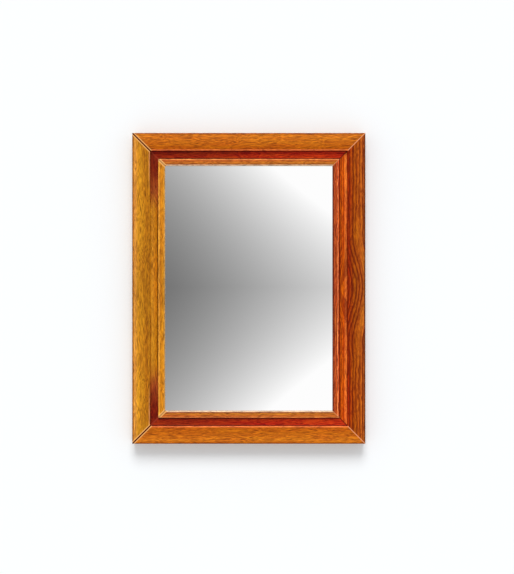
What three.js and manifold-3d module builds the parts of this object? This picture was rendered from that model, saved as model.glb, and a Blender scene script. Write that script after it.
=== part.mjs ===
// A wall mirror in a mitred, stained-timber frame.
//
// The frame is a stepped moulding: a broad outer band, a recessed channel, and a slim inner slip that
// laps over the glass. The mirror, a card and a hardboard panel drop into the rebate from behind, and
// eight turn buttons hold them there. Two ring hangers carry the weight, and four pads stand on the wall.
//
// Millimetres, +Z up. The wall is the plane y = 0 and the glass looks towards -Y. x and z are measured
// from the middle of the frame. Left and right are those of someone looking into the glass.
import * as THREE from "three";
import { mergeVertices } from "three/addons/utils/BufferGeometryUtils.js";
import Module from "manifold-3d";

const wasm = await Module();
wasm.setup();

// ---------------------------------------------------------------------------------------------------
// Driving dimensions
// ---------------------------------------------------------------------------------------------------

// A seam where two finished faces meet, or a piece lies on its seat.
const SEAM = 0.3;
// How far a cutter runs past the face that it opens.
const REACH = 1;

// The frame as a whole.
const FRAME_WIDTH = 450;
const FRAME_HEIGHT = 600;
const MITRE_SEAM = 0.3;

// The main moulding. In its section u runs inwards from the outer edge, and v from the back to the face.
const MOULDING_DEPTH = 32;
const BAND_WIDTH = 34;
const BAND_EDGE_RADIUS = 1.6;
const SHOULDER_RUN = 13;
const SHOULDER_DROP = 1.4;
const SHOULDER_EDGE_RADIUS = 0.9;
const CHANNEL_WIDTH = 16;
const CHANNEL_DEPTH = 9;
const CHANNEL_FOOT_RADIUS = 2.2;
const BACK_CHAMFER = 1;

// The inner slip, glued on the moulding's ledge.
const SLIP_WIDTH = 13;
const SLIP_SET_BACK = 3;
const SLIP_OVERHANG = 6;
const SLIP_EDGE_RADIUS = 1.1;
const SLIP_CROWN = 0.5;

// What lies in the rebate, from the slip backwards.
const GLASS_THICKNESS = 4;
const GLASS_ARRIS = 0.5;
const GLASS_PLAY = 2;
const CARD_THICKNESS = 3;
const PANEL_THICKNESS = 3.2;
const PANEL_SINK = 0.2;

// Setting blocks between the edge of the glass and the rebate.
const BLOCK_LENGTH = 24;
const BLOCK_SPREAD = 0.5; // the distance between a pair, as a share of the glass's width

// V-nails that pull each mitre together from the back.
const NAIL_LEG = 8;
const NAIL_STEEL = 0.6;
const NAIL_LENGTH = 12;
const NAIL_INSETS = [12, 26];

// Turn buttons that hold the panel.
const BUTTON_THICKNESS = 1.5;
const BUTTON_PIVOT_RADIUS = 5.5;
const BUTTON_TIP_RADIUS = 3.4;
const BUTTON_REACH = 14;
const BUTTON_SET = 12; // from the wall of the recess to the pivot
const BUTTON_EDGE = 0.3;
const RAIL_BUTTON_SPACING = 190;
const STILE_BUTTON_SPACING = 230;
const BUTTON_SCREW = { shank: 1.4, length: 8, head: 3.1, rise: 1.9, drive: 1.7 };

// Ring hangers: a strap folded round the straight side of a D-shaped ring.
const HANGER_DROP = 88; // from the top of the frame down to the ring's axis
const STRAP_STEEL = 0.9;
const STRAP_WIDTH = 14;
const STRAP_LENGTH = 42;
const STRAP_HOLES = [20, 34]; // down from the ring's axis
const STRAP_NECK = 3; // below the eye, where the strip's two layers meet
const RING_WIRE_RADIUS = 1.3;
const RING_WIDTH = 19; // between the wire's centre lines
const RING_DROP = 13.5;
const RING_CORNER_RADIUS = 2.5;
const RING_PLAY = 0.3;
const RING_BUTT_GAP = 0.4;
const HANGER_SCREW = { shank: 1.7, length: 9, head: 3.5, rise: 2.1, drive: 2 };

// Pan-head screws: shares of a screw's own rise, head, drive and shank.
const PAN = { rim: 0.3, crown: 0.45, slotDepth: 0.55, slotWidth: 0.42, point: 2.5 };

// Wall pads, stuck on the back of the stiles.
const PAD_RADIUS = 7;
const PAD_THICKNESS = 3;
const PAD_TAPER = 0.5;
const PAD_ROUND = 0.8;
const PAD_INSET = 48; // from the end of a stile

// ---------------------------------------------------------------------------------------------------
// Places worked out from them
// ---------------------------------------------------------------------------------------------------

const slipStart = BAND_WIDTH + CHANNEL_WIDTH;
const sightEdge = slipStart + SLIP_WIDTH;
const rebateEdge = sightEdge - SLIP_OVERHANG;
const glassEdge = rebateEdge + GLASS_PLAY;

const channelFloor = MOULDING_DEPTH - CHANNEL_DEPTH;
const slipBack = channelFloor + SEAM;
const slipFace = MOULDING_DEPTH - SLIP_SET_BACK;
const glassFront = slipBack - SEAM;
const glassBack = glassFront - GLASS_THICKNESS;
const cardFront = glassBack - SEAM;
const panelFront = cardFront - CARD_THICKNESS - SEAM;
const panelBack = panelFront - PANEL_THICKNESS;
const ledgeBack = panelBack - PANEL_SINK;

const glassWidth = FRAME_WIDTH - 2 * glassEdge;
const glassHeight = FRAME_HEIGHT - 2 * glassEdge;
const ledgeWidth = rebateEdge - BAND_WIDTH;
const hangerHeight = FRAME_HEIGHT / 2 - HANGER_DROP;
const backOfFrame = -(PAD_THICKNESS + SEAM); // y of the moulding's back

// ---------------------------------------------------------------------------------------------------
// Materials
// ---------------------------------------------------------------------------------------------------

const finish = (color, roughness, metalness = 0) =>
  new THREE.MeshStandardMaterial({ color, roughness, metalness });
const amberWood = finish(0xc66a18, 0.45);
const goldenWood = finish(0xc07c20, 0.45);
const russetWood = finish(0xa04a14, 0.45);
const silveredGlass = finish(0xe8ecec, 0.03, 1);
const card = finish(0xb9935f, 0.95);
const hardboard = finish(0x7a5233, 0.8);
const zincPlate = finish(0xb9bcc0, 0.35, 1);
const blackSteel = finish(0x3c3d3f, 0.5, 1);
const rubber = finish(0x2a2a2a, 0.9);

// ---------------------------------------------------------------------------------------------------
// Solid tools
// ---------------------------------------------------------------------------------------------------

// A closed mesh as a solid that can be cut.
function solid(geometry) {
  const bare = geometry.clone();
  bare.deleteAttribute("normal");
  bare.deleteAttribute("uv");
  const merged = mergeVertices(bare, 1e-4);
  return new wasm.Manifold(
    new wasm.Mesh({
      numProp: 3,
      vertProperties: merged.attributes.position.array,
      triVerts: new Uint32Array(merged.index.array),
    }),
  );
}

function geometryOf(made) {
  const { vertProperties, triVerts } = made.getMesh();
  const geometry = new THREE.BufferGeometry();
  geometry.setAttribute("position", new THREE.BufferAttribute(vertProperties, 3));
  geometry.setIndex(new THREE.BufferAttribute(triVerts, 1));
  return geometry.toNonIndexed();
}

function cutAway(geometry, tools) {
  const left = tools.reduce((whole, tool) => whole.subtract(solid(tool)), solid(geometry));
  return withNormals(geometryOf(left));
}

function withNormals(geometry) {
  geometry.computeVertexNormals();
  return geometry;
}

// A flat outline in x and z, made `depth` thick from y = 0 towards the front of the mirror.
function plate(outline, depth) {
  const geometry = new THREE.ExtrudeGeometry(outline, { depth, bevelEnabled: false, curveSegments: 6 });
  return geometry.rotateX(Math.PI / 2);
}

function drill(radius, depth, x, y, z, sides = 12) {
  return new THREE.CylinderGeometry(radius, radius, depth, sides).translate(x, y - depth / 2, z);
}

function meshOf(name, geometry, material, x = 0, y = 0, z = 0) {
  const mesh = new THREE.Mesh(geometry, material);
  mesh.name = name;
  mesh.position.set(x, y, z);
  return mesh;
}

// ---------------------------------------------------------------------------------------------------
// Mouldings
// ---------------------------------------------------------------------------------------------------

// The main moulding's section: band, shoulder, channel, ledge for the slip and the rebate behind it.
function mouldingSection() {
  const shoulderStart = BAND_WIDTH - SHOULDER_RUN;
  const shoulderFoot = MOULDING_DEPTH - SHOULDER_DROP;
  const section = new THREE.Shape();
  section.moveTo(BACK_CHAMFER, 0);
  section.lineTo(BAND_WIDTH - BACK_CHAMFER, 0);
  section.lineTo(BAND_WIDTH, BACK_CHAMFER);
  section.lineTo(BAND_WIDTH, ledgeBack);
  section.lineTo(rebateEdge, ledgeBack);
  section.lineTo(rebateEdge, channelFloor);
  section.lineTo(BAND_WIDTH + CHANNEL_FOOT_RADIUS, channelFloor);
  section.quadraticCurveTo(BAND_WIDTH, channelFloor, BAND_WIDTH, channelFloor + CHANNEL_FOOT_RADIUS);
  section.lineTo(BAND_WIDTH, shoulderFoot - SHOULDER_EDGE_RADIUS);
  section.quadraticCurveTo(BAND_WIDTH, shoulderFoot, BAND_WIDTH - SHOULDER_EDGE_RADIUS, shoulderFoot);
  section.quadraticCurveTo(BAND_WIDTH - SHOULDER_RUN / 2, MOULDING_DEPTH, shoulderStart, MOULDING_DEPTH);
  section.lineTo(BAND_EDGE_RADIUS, MOULDING_DEPTH);
  section.quadraticCurveTo(0, MOULDING_DEPTH, 0, MOULDING_DEPTH - BAND_EDGE_RADIUS);
  section.lineTo(0, BACK_CHAMFER);
  section.closePath();
  return section;
}

// The slip's section: square behind, its two front edges rounded and its face slightly crowned.
function slipSection() {
  const edge = slipFace - SLIP_CROWN;
  const section = new THREE.Shape();
  section.moveTo(slipStart, slipBack);
  section.lineTo(sightEdge, slipBack);
  section.lineTo(sightEdge, edge - SLIP_EDGE_RADIUS);
  section.quadraticCurveTo(sightEdge, edge, sightEdge - SLIP_EDGE_RADIUS, edge);
  section.quadraticCurveTo(
    slipStart + SLIP_WIDTH / 2,
    edge + 2 * SLIP_CROWN,
    slipStart + SLIP_EDGE_RADIUS,
    edge,
  );
  section.quadraticCurveTo(slipStart, edge, slipStart, edge - SLIP_EDGE_RADIUS);
  section.closePath();
  return section;
}

// A length of moulding, mitred at both ends. Every corner of the section slides back along the mitre by
// its own distance u from the outer edge. The length lies along x, u runs down from z = 0, and v runs
// from y = 0 towards the front.
function mitredLength(section, outerLength) {
  const geometry = new THREE.ExtrudeGeometry(section, { depth: 1, bevelEnabled: false, curveSegments: 5 });
  const at = geometry.getAttribute("position");
  const mitreBack = MITRE_SEAM * Math.SQRT1_2;
  for (let i = 0; i < at.count; i++) {
    const [u, v, end] = [at.getX(i), at.getY(i), at.getZ(i) > 0.5 ? -1 : 1];
    at.setXYZ(i, end * (outerLength / 2 - u - mitreBack), -v, -u);
  }
  return geometry;
}

// ---------------------------------------------------------------------------------------------------
// V-nails
// ---------------------------------------------------------------------------------------------------

// An angle of steel strip seen from the back: its corner lies on the mitre, inset from both outer edges,
// and its legs run out along x and z. `grow` widens it into the slot that it is driven into.
function nailOutline(grow) {
  const inner = NAIL_STEEL / 2 + grow;
  const outer = NAIL_LEG + grow;
  const outline = new THREE.Shape();
  outline.moveTo(-inner, -inner);
  outline.lineTo(outer, -inner);
  outline.lineTo(outer, inner);
  outline.lineTo(inner, inner);
  outline.lineTo(inner, outer);
  outline.lineTo(-inner, outer);
  outline.closePath();
  return outline;
}

// The slots for the V-nails in one end of a member whose length is along x.
function nailSlots(outerLength, end) {
  return NAIL_INSETS.map((inset) => {
    const slot = plate(nailOutline(SEAM), NAIL_LENGTH + 2 * SEAM + REACH);
    if (end < 0) slot.rotateY(-Math.PI / 2);
    return slot.translate(end * (outerLength / 2 - inset), REACH, -inset);
  });
}

// ---------------------------------------------------------------------------------------------------
// Screws
// ---------------------------------------------------------------------------------------------------

// A pan-head wood screw along y. The underside of its head is at y = 0, with the head on the wall's side.
function screwGeometry({ shank, length, head, rise, drive }) {
  const profile = new THREE.Path();
  profile.moveTo(0, -length);
  profile.lineTo(shank, PAN.point * shank - length);
  profile.lineTo(shank, 0);
  profile.lineTo(head, 0);
  profile.lineTo(head, rise * PAN.rim);
  profile.quadraticCurveTo(head, rise, head * PAN.crown, rise);
  profile.lineTo(0, rise);
  const body = new THREE.LatheGeometry(profile.getPoints(3), 16);
  const cross = [0, Math.PI / 2].map((turn) => {
    const slot = new THREE.BoxGeometry(2 * drive, 2 * rise * PAN.slotDepth, drive * PAN.slotWidth);
    return slot.rotateY(turn).translate(0, rise, 0);
  });
  return cutAway(body, cross);
}

// The hole for a screw whose head sits `proud` of the ledge, in one side's own place.
function pilotHole({ shank, length }, proud, x, u) {
  return drill(shank + SEAM, length - proud + SEAM + REACH, x, REACH - ledgeBack, -u);
}

// ---------------------------------------------------------------------------------------------------
// Turn buttons
// ---------------------------------------------------------------------------------------------------

const buttonSet = BAND_WIDTH + BUTTON_SET; // u of the pivot

// A flat steel button, widest round its pivot at x = z = 0 and reaching down over the panel.
function buttonGeometry() {
  const lean = Math.asin((BUTTON_PIVOT_RADIUS - BUTTON_TIP_RADIUS) / BUTTON_REACH);
  const outline = new THREE.Shape();
  outline.absarc(0, 0, BUTTON_PIVOT_RADIUS, -lean, Math.PI + lean, false);
  outline.absarc(0, -BUTTON_REACH, BUTTON_TIP_RADIUS, Math.PI + lean, 2 * Math.PI - lean, false);
  outline.closePath();
  const hole = new THREE.Path();
  hole.absarc(0, 0, BUTTON_SCREW.shank + SEAM, 0, 2 * Math.PI, true);
  outline.holes.push(hole);
  const geometry = new THREE.ExtrudeGeometry(outline, {
    depth: BUTTON_THICKNESS - 2 * BUTTON_EDGE,
    bevelThickness: BUTTON_EDGE,
    bevelSize: BUTTON_EDGE,
    bevelOffset: -BUTTON_EDGE,
    bevelSegments: 1,
    curveSegments: 7,
  });
  return geometry.rotateX(Math.PI / 2).translate(0, -BUTTON_EDGE, 0);
}

// ---------------------------------------------------------------------------------------------------
// Ring hangers
// ---------------------------------------------------------------------------------------------------

const eyeBore = RING_WIRE_RADIUS + RING_PLAY;
const eyeRadius = eyeBore + STRAP_STEEL;
const strapThickness = 2 * STRAP_STEEL; // the strip lies double below the eye
const ringLean = Math.asin((strapThickness + SEAM + RING_WIRE_RADIUS - eyeRadius) / RING_DROP);

// The strap's fold, drawn with its x along the mirror's y and its y along z. The ring's axis is at the
// origin. The side that lies on the timber is flat, and the eye bulges on the other, towards the wall.
function strapFold() {
  const seat = -eyeRadius;
  const face = seat + strapThickness;
  const neck = eyeRadius + STRAP_NECK;
  const touch = Math.atan2(-neck, face) + Math.acos(eyeRadius / Math.hypot(face, neck));
  const fold = new THREE.Shape();
  fold.moveTo(seat, -STRAP_LENGTH);
  fold.lineTo(face, -STRAP_LENGTH);
  fold.lineTo(face, -neck);
  fold.absarc(0, 0, eyeRadius, touch, Math.PI, false);
  fold.closePath();
  const bore = new THREE.Path();
  bore.absarc(0, 0, eyeBore, 0, 2 * Math.PI, true);
  fold.holes.push(bore);
  return fold;
}

// The strap seen from behind: straight-sided, with a round lower end.
function strapOutline() {
  const half = STRAP_WIDTH / 2;
  const outline = new THREE.Shape();
  outline.moveTo(-half, eyeRadius + REACH);
  outline.lineTo(-half, half - STRAP_LENGTH);
  outline.absarc(0, half - STRAP_LENGTH, half, Math.PI, 2 * Math.PI, false);
  outline.lineTo(half, eyeRadius + REACH);
  outline.closePath();
  return outline;
}

function strapGeometry() {
  const folded = new THREE.ExtrudeGeometry(strapFold(), {
    depth: STRAP_WIDTH,
    bevelEnabled: false,
    curveSegments: 10,
  });
  const alongX = new THREE.Matrix4().makeBasis(
    new THREE.Vector3(0, 1, 0),
    new THREE.Vector3(0, 0, 1),
    new THREE.Vector3(1, 0, 0),
  );
  folded.applyMatrix4(alongX).translate(-STRAP_WIDTH / 2, 0, 0);
  const depth = 2 * (eyeRadius + REACH);
  const rounded = solid(folded).intersect(solid(plate(strapOutline(), depth).translate(0, depth / 2, 0)));
  const holes = STRAP_HOLES.map((drop) => drill(HANGER_SCREW.shank + SEAM, depth, 0, depth / 2, -drop));
  return cutAway(geometryOf(rounded), holes);
}

// The line of a D-shaped ring's wire: straight through the strap's eye, and round below it.
function ringPath() {
  const half = RING_WIDTH / 2;
  const bowStart = Math.max(RING_CORNER_RADIUS, RING_DROP - half);
  const path = new THREE.Path();
  path.moveTo(RING_BUTT_GAP / 2, 0);
  path.lineTo(half - RING_CORNER_RADIUS, 0);
  path.quadraticCurveTo(half, 0, half, -RING_CORNER_RADIUS);
  path.lineTo(half, -bowStart);
  path.absellipse(0, -bowStart, half, RING_DROP - bowStart, 0, Math.PI, true);
  path.lineTo(-half, -RING_CORNER_RADIUS);
  path.quadraticCurveTo(-half, 0, RING_CORNER_RADIUS - half, 0);
  path.lineTo(-RING_BUTT_GAP / 2, 0);
  return path;
}

// A flat path as a curve in space, with the path's y along z.
class UprightCurve extends THREE.Curve {
  constructor(path) {
    super();
    this.path = path;
  }

  getPoint(t, target = new THREE.Vector3()) {
    const { x, y } = this.path.getPoint(t);
    return target.set(x, 0, y);
  }
}

// The ring hangs from its axis at the origin and leans on the strap.
function ringGeometry() {
  const wire = new THREE.Shape();
  wire.absarc(0, 0, RING_WIRE_RADIUS, 0, 2 * Math.PI, false);
  const extrudePath = new UprightCurve(ringPath());
  const ring = new THREE.ExtrudeGeometry(wire, { steps: 56, curveSegments: 5, extrudePath });
  return ring.rotateX(ringLean);
}

// ---------------------------------------------------------------------------------------------------
// Wall pads, glass and sheets
// ---------------------------------------------------------------------------------------------------

// A round rubber pad, y = 0 on the wall, a little narrower towards the wall.
function padGeometry() {
  const profile = [
    [0, -PAD_THICKNESS],
    [PAD_RADIUS, -PAD_THICKNESS],
    [PAD_RADIUS - PAD_TAPER, -PAD_ROUND],
    [PAD_RADIUS - PAD_TAPER - PAD_ROUND, 0],
    [0, 0],
  ];
  return new THREE.LatheGeometry(profile.map(([r, y]) => new THREE.Vector2(r, y)), 24);
}

// The mirror pane, with its edges arrised all round.
function glassGeometry() {
  const half = [glassWidth / 2 - GLASS_ARRIS, glassHeight / 2 - GLASS_ARRIS];
  const outline = new THREE.Shape();
  outline.moveTo(-half[0], -half[1]);
  outline.lineTo(half[0], -half[1]);
  outline.lineTo(half[0], half[1]);
  outline.lineTo(-half[0], half[1]);
  outline.closePath();
  const geometry = new THREE.ExtrudeGeometry(outline, {
    depth: GLASS_THICKNESS - 2 * GLASS_ARRIS,
    bevelThickness: GLASS_ARRIS,
    bevelSize: GLASS_ARRIS,
    bevelSegments: 1,
  });
  return geometry.rotateX(Math.PI / 2).translate(0, -GLASS_ARRIS, 0);
}

// ---------------------------------------------------------------------------------------------------
// Assembly
// ---------------------------------------------------------------------------------------------------

// The four sides, going round clockwise. `turn` counts the quarter turns about y from the top rail.
// `ends` names the two ends of a side's length, from -x to +x before that turn, and on a stile `upAlong`
// says which way along it is up.
const SIDES = [
  { side: "top", name: "top_rail", ends: ["left", "right"], wood: amberWood },
  { side: "right", name: "right_stile", ends: ["upper", "lower"], wood: russetWood, upAlong: -1 },
  { side: "bottom", name: "bottom_rail", ends: ["right", "left"], wood: amberWood },
  { side: "left", name: "left_stile", ends: ["lower", "upper"], wood: goldenWood, upAlong: 1 },
].map((s, turn) => ({ ...s, turn }));

const isStile = (s) => s.upAlong !== undefined;
const longSize = (s) => (isStile(s) ? FRAME_HEIGHT : FRAME_WIDTH);
const acrossSize = (s) => (isStile(s) ? FRAME_WIDTH : FRAME_HEIGHT);
const buttonSpacing = (s) => (isStile(s) ? STILE_BUTTON_SPACING : RAIL_BUTTON_SPACING);
const buttonPlaces = (s) => [-buttonSpacing(s) / 2, buttonSpacing(s) / 2];
const strapCentre = BAND_WIDTH + ledgeWidth / 2; // u of the strap, in the middle of the ledge
const buttonHead = BUTTON_THICKNESS + 2 * SEAM; // from the ledge to the underside of a screw's head
const strapHead = strapThickness + 2 * SEAM;

function frameMember(s) {
  const holes = buttonPlaces(s).map((x) => pilotHole(BUTTON_SCREW, buttonHead, x, buttonSet));
  if (isStile(s)) {
    for (const drop of STRAP_HOLES) {
      holes.push(pilotHole(HANGER_SCREW, strapHead, s.upAlong * (hangerHeight - drop), strapCentre));
    }
  }
  const moulding = mitredLength(mouldingSection(), longSize(s));
  const slots = [...nailSlots(longSize(s), -1), ...nailSlots(longSize(s), 1)];
  return meshOf("frame_" + s.name, cutAway(moulding, [...holes, ...slots]), s.wood);
}

// One side of the frame in its own place: its moulding, its slip, its turn buttons and their screws.
function frameSide(s) {
  const group = new THREE.Group();
  group.rotation.y = (s.turn * Math.PI) / 2;
  group.position.set(0, 0, acrossSize(s) / 2).applyEuler(group.rotation).setY(backOfFrame);
  group.add(frameMember(s));
  const slip = mitredLength(slipSection(), longSize(s));
  group.add(meshOf("inner_slip_" + s.side, withNormals(slip), s.wood));
  buttonPlaces(s).forEach((x, i) => {
    const place = s.side + "_" + s.ends[i];
    const back = SEAM + BUTTON_THICKNESS - ledgeBack;
    group.add(meshOf("turn_button_" + place, buttonGeometry(), zincPlate, x, back, -buttonSet));
    const under = buttonHead - ledgeBack;
    group.add(meshOf("button_screw_" + place, screwGeometry(BUTTON_SCREW), zincPlate, x, under, -buttonSet));
  });
  return group;
}

// The V-nails of one corner, each with its legs towards the corner's two outer edges.
function cornerNails(sideX, sideZ) {
  const place = (sideZ > 0 ? "top_" : "bottom_") + (sideX > 0 ? "right" : "left");
  const turn = Math.atan2(sideX, sideZ) - Math.PI / 4;
  return NAIL_INSETS.map((inset, i) => {
    const name = "v_nail_" + place + "_" + (i === 0 ? "outer" : "inner");
    const [x, z] = [sideX * (FRAME_WIDTH / 2 - inset), sideZ * (FRAME_HEIGHT / 2 - inset)];
    const nail = meshOf(name, plate(nailOutline(0), NAIL_LENGTH), blackSteel, x, backOfFrame - SEAM, z);
    nail.rotation.y = turn;
    return nail;
  });
}

// A hanger: its strap is flat on the stile's ledge, and its ring hangs from the strap's eye.
function hanger(sideX) {
  const place = sideX > 0 ? "right" : "left";
  const group = new THREE.Group();
  const axis = backOfFrame - ledgeBack + SEAM + eyeRadius;
  group.position.set(sideX * (FRAME_WIDTH / 2 - strapCentre), axis, hangerHeight);
  group.add(meshOf("hanger_strap_" + place, strapGeometry(), zincPlate));
  group.add(meshOf("hanger_ring_" + place, ringGeometry(), zincPlate));
  STRAP_HOLES.forEach((drop, i) => {
    const name = "hanger_screw_" + place + "_" + (i === 0 ? "upper" : "lower");
    const under = SEAM + strapThickness - eyeRadius;
    group.add(meshOf(name, screwGeometry(HANGER_SCREW), zincPlate, 0, under, -drop));
  });
  return group;
}

function wallPads(sideX) {
  const x = sideX * (FRAME_WIDTH / 2 - BAND_WIDTH / 2);
  return [1, -1].map((sideZ) => {
    const name = "wall_pad_" + (sideZ > 0 ? "upper_" : "lower_") + (sideX > 0 ? "right" : "left");
    return meshOf(name, padGeometry(), rubber, x, 0, sideZ * (FRAME_HEIGHT / 2 - PAD_INSET));
  });
}

// The rubber blocks that carry the glass and keep it from the timber.
function settingBlocks() {
  const thick = GLASS_PLAY - 2 * SEAM;
  const y = backOfFrame - (glassFront + glassBack) / 2;
  const gapX = glassWidth / 2 + GLASS_PLAY / 2;
  const gapZ = glassHeight / 2 + GLASS_PLAY / 2;
  const block = (name, sizeX, sizeZ, x, z) =>
    meshOf("setting_block_" + name, new THREE.BoxGeometry(sizeX, GLASS_THICKNESS, sizeZ), rubber, x, y, z);
  const spread = (BLOCK_SPREAD * glassWidth) / 2;
  return [
    block("bottom_left", BLOCK_LENGTH, thick, -spread, -gapZ),
    block("bottom_right", BLOCK_LENGTH, thick, spread, -gapZ),
    block("left", thick, BLOCK_LENGTH, -gapX, 0),
    block("right", thick, BLOCK_LENGTH, gapX, 0),
  ];
}

// The pane, the card and the panel, each behind the one before.
function rebateContents() {
  const sheet = (name, front, thickness, material) => {
    const y = backOfFrame - front + thickness / 2;
    return meshOf(name, new THREE.BoxGeometry(glassWidth, thickness, glassHeight), material, 0, y, 0);
  };
  return [
    meshOf("mirror_glass", glassGeometry(), silveredGlass, 0, backOfFrame - glassBack, 0),
    sheet("backing_card", cardFront, CARD_THICKNESS, card),
    sheet("back_panel", panelFront, PANEL_THICKNESS, hardboard),
  ];
}

const mirror = new THREE.Group();
mirror.name = "framed_wall_mirror";
mirror.add(...SIDES.map(frameSide));
for (const sideX of [-1, 1]) {
  mirror.add(hanger(sideX), ...wallPads(sideX));
  for (const sideZ of [-1, 1]) mirror.add(...cornerNails(sideX, sideZ));
}
mirror.add(...rebateContents(), ...settingBlocks());

export default mirror;
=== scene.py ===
import math

import bmesh
import bpy
from mathutils import Matrix, Vector


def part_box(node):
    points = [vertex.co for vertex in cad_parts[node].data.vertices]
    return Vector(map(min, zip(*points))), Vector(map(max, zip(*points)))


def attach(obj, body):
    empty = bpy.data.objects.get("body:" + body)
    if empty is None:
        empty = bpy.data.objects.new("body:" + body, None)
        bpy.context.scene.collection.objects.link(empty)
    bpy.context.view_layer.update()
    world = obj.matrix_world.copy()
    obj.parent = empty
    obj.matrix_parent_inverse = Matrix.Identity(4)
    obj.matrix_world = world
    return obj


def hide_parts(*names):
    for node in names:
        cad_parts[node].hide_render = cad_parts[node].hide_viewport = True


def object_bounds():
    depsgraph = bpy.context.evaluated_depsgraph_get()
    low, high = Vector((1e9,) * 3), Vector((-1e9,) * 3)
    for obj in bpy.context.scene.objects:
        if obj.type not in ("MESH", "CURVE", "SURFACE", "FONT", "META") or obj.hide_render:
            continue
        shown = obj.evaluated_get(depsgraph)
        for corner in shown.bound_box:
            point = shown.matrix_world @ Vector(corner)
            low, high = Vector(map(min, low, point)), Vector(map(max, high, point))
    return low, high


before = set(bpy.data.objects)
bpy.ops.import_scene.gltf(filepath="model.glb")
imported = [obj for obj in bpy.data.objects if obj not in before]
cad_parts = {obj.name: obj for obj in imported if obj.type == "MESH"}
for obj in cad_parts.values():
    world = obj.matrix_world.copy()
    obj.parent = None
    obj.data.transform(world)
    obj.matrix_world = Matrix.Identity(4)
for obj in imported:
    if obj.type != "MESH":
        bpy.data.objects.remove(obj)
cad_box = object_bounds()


# ---- The camera ---------------------------------------------------------------------------------
# It stands square in front of the glass, a little right of its middle, as the photograph was taken.
# PIXEL is how much of the frame's face one pixel of the picture shows.
MM = 0.001
PIXEL = 1.929 * MM
PICTURE_HEIGHT = 574 * PIXEL
MIRROR_LEFT_OF_PICTURE = 8.2 * PIXEL
MIRROR_BELOW_PICTURE = 1.35 * PIXEL
CAMERA_DISTANCE = 2.6
SENSOR = 24

frame_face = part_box("frame_top_rail")[0].y
camera = bpy.data.objects.new("camera", bpy.data.cameras.new("camera"))
camera.data.sensor_fit = "VERTICAL"
camera.data.sensor_height = SENSOR
camera.data.lens = SENSOR * CAMERA_DISTANCE / PICTURE_HEIGHT
camera.location = (MIRROR_LEFT_OF_PICTURE, frame_face - CAMERA_DISTANCE, MIRROR_BELOW_PICTURE)
camera.rotation_euler = (math.pi / 2, 0, 0)
bpy.context.scene.collection.objects.link(camera)
bpy.context.scene.camera = camera
bpy.context.scene.view_settings.view_transform = "Standard"


# ---- The wall and the floor ---------------------------------------------------------------------
# A white painted wall that the pads touch, and a pale floor below. Each shows from its own side
# only, so that the mirror's back can be looked at too, and takes its shadow but casts none.
WALL_WHITE = "f0f3f5"
WALL_GLOW = 0.12
WALL_SIZE = 5.0
WALL_GAP = 0.3 * MM
FLOOR_DROP = 0.7
STIPPLE = 1.11


def linear(hex_text):
    """A colour written as sRGB hex, as the linear RGBA that a socket takes."""
    channels = [int(hex_text[i : i + 2], 16) / 255 for i in (0, 2, 4)]
    return [c / 12.92 if c <= 0.04045 else ((c + 0.055) / 1.055) ** 2.4 for c in channels] + [1]


def add(tree, kind, inputs=None, out=0, **settings):
    """Adds a node, sets it up, fills its inputs with values or links, and returns one output."""
    node = tree.nodes.new(kind)
    for key, value in settings.items():
        setattr(node, key, value)
    for key, value in (inputs or {}).items():
        if isinstance(value, bpy.types.NodeSocket):
            tree.links.new(value, node.inputs[key])
        else:
            node.inputs[key].default_value = value
    return node.outputs[out] if len(node.outputs) else node


def new_material(name):
    """An empty node material and its tree."""
    material = bpy.data.materials.new(name)
    material.use_nodes = True
    material.node_tree.nodes.clear()
    return material, material.node_tree


# Matt emulsion, rolled on. It gives an even white with a fine stipple of about 1 mm.
painted_wall, tree = new_material("painted_wall")
speckle = add(tree, "ShaderNodeTexNoise", {"Vector": add(tree, "ShaderNodeTexCoord", out="Object"),
                                           "Scale": 1 / (STIPPLE * MM), "Detail": 2})
bump = add(tree, "ShaderNodeBump", {"Height": speckle, "Strength": 0.05, "Distance": 0.2 * MM})
paint = add(tree, "ShaderNodeBsdfDiffuse", {"Color": linear(WALL_WHITE), "Normal": bump})
glow = add(tree, "ShaderNodeEmission", {"Color": linear("ffffff"), "Strength": WALL_GLOW})
lit = add(tree, "ShaderNodeAddShader", {0: paint, 1: glow})
from_behind = add(tree, "ShaderNodeNewGeometry", out="Backfacing")
one_sided = add(tree, "ShaderNodeMixShader", {0: from_behind, 1: lit,
                                              2: add(tree, "ShaderNodeBsdfTransparent")})
add(tree, "ShaderNodeOutputMaterial", {"Surface": one_sided})

for name, turn, place in (
    ("wall", math.pi / 2, (0, WALL_GAP, 0)),
    ("floor", 0, (0, 0, cad_box[0][2] - FLOOR_DROP)),
):
    bm = bmesh.new()
    bmesh.ops.create_grid(bm, x_segments=1, y_segments=1, size=WALL_SIZE)
    bmesh.ops.rotate(bm, verts=bm.verts, matrix=Matrix.Rotation(turn, 3, "X"))
    bmesh.ops.translate(bm, verts=bm.verts, vec=place)
    mesh = bpy.data.meshes.new(name)
    bm.to_mesh(mesh)
    bm.free()
    mesh.materials.append(painted_wall)
    backdrop = bpy.data.objects.new(name, mesh)
    bpy.context.scene.collection.objects.link(backdrop)
    backdrop.visible_diffuse = False
    backdrop.visible_glossy = False
    backdrop.visible_transmission = False
    backdrop.visible_shadow = False


# ---- The light ----------------------------------------------------------------------------------
# A broad soft lamp high in front throws the short shadow below the frame, one behind lights the
# back, and the room gives the rest. The glass mirrors a grey room: darkest at eye height on the
# left, brighter to the right, up and down, and pale at the sides with a little shade low down.
LAMP_SPREAD = math.radians(28)
KEY_HEIGHT, KEY_STRENGTH = math.radians(45.5), 1.76
BACK_HEIGHT, BACK_STRENGTH = math.radians(40), 1.9
ROOM_LIGHT = 0.60

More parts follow.
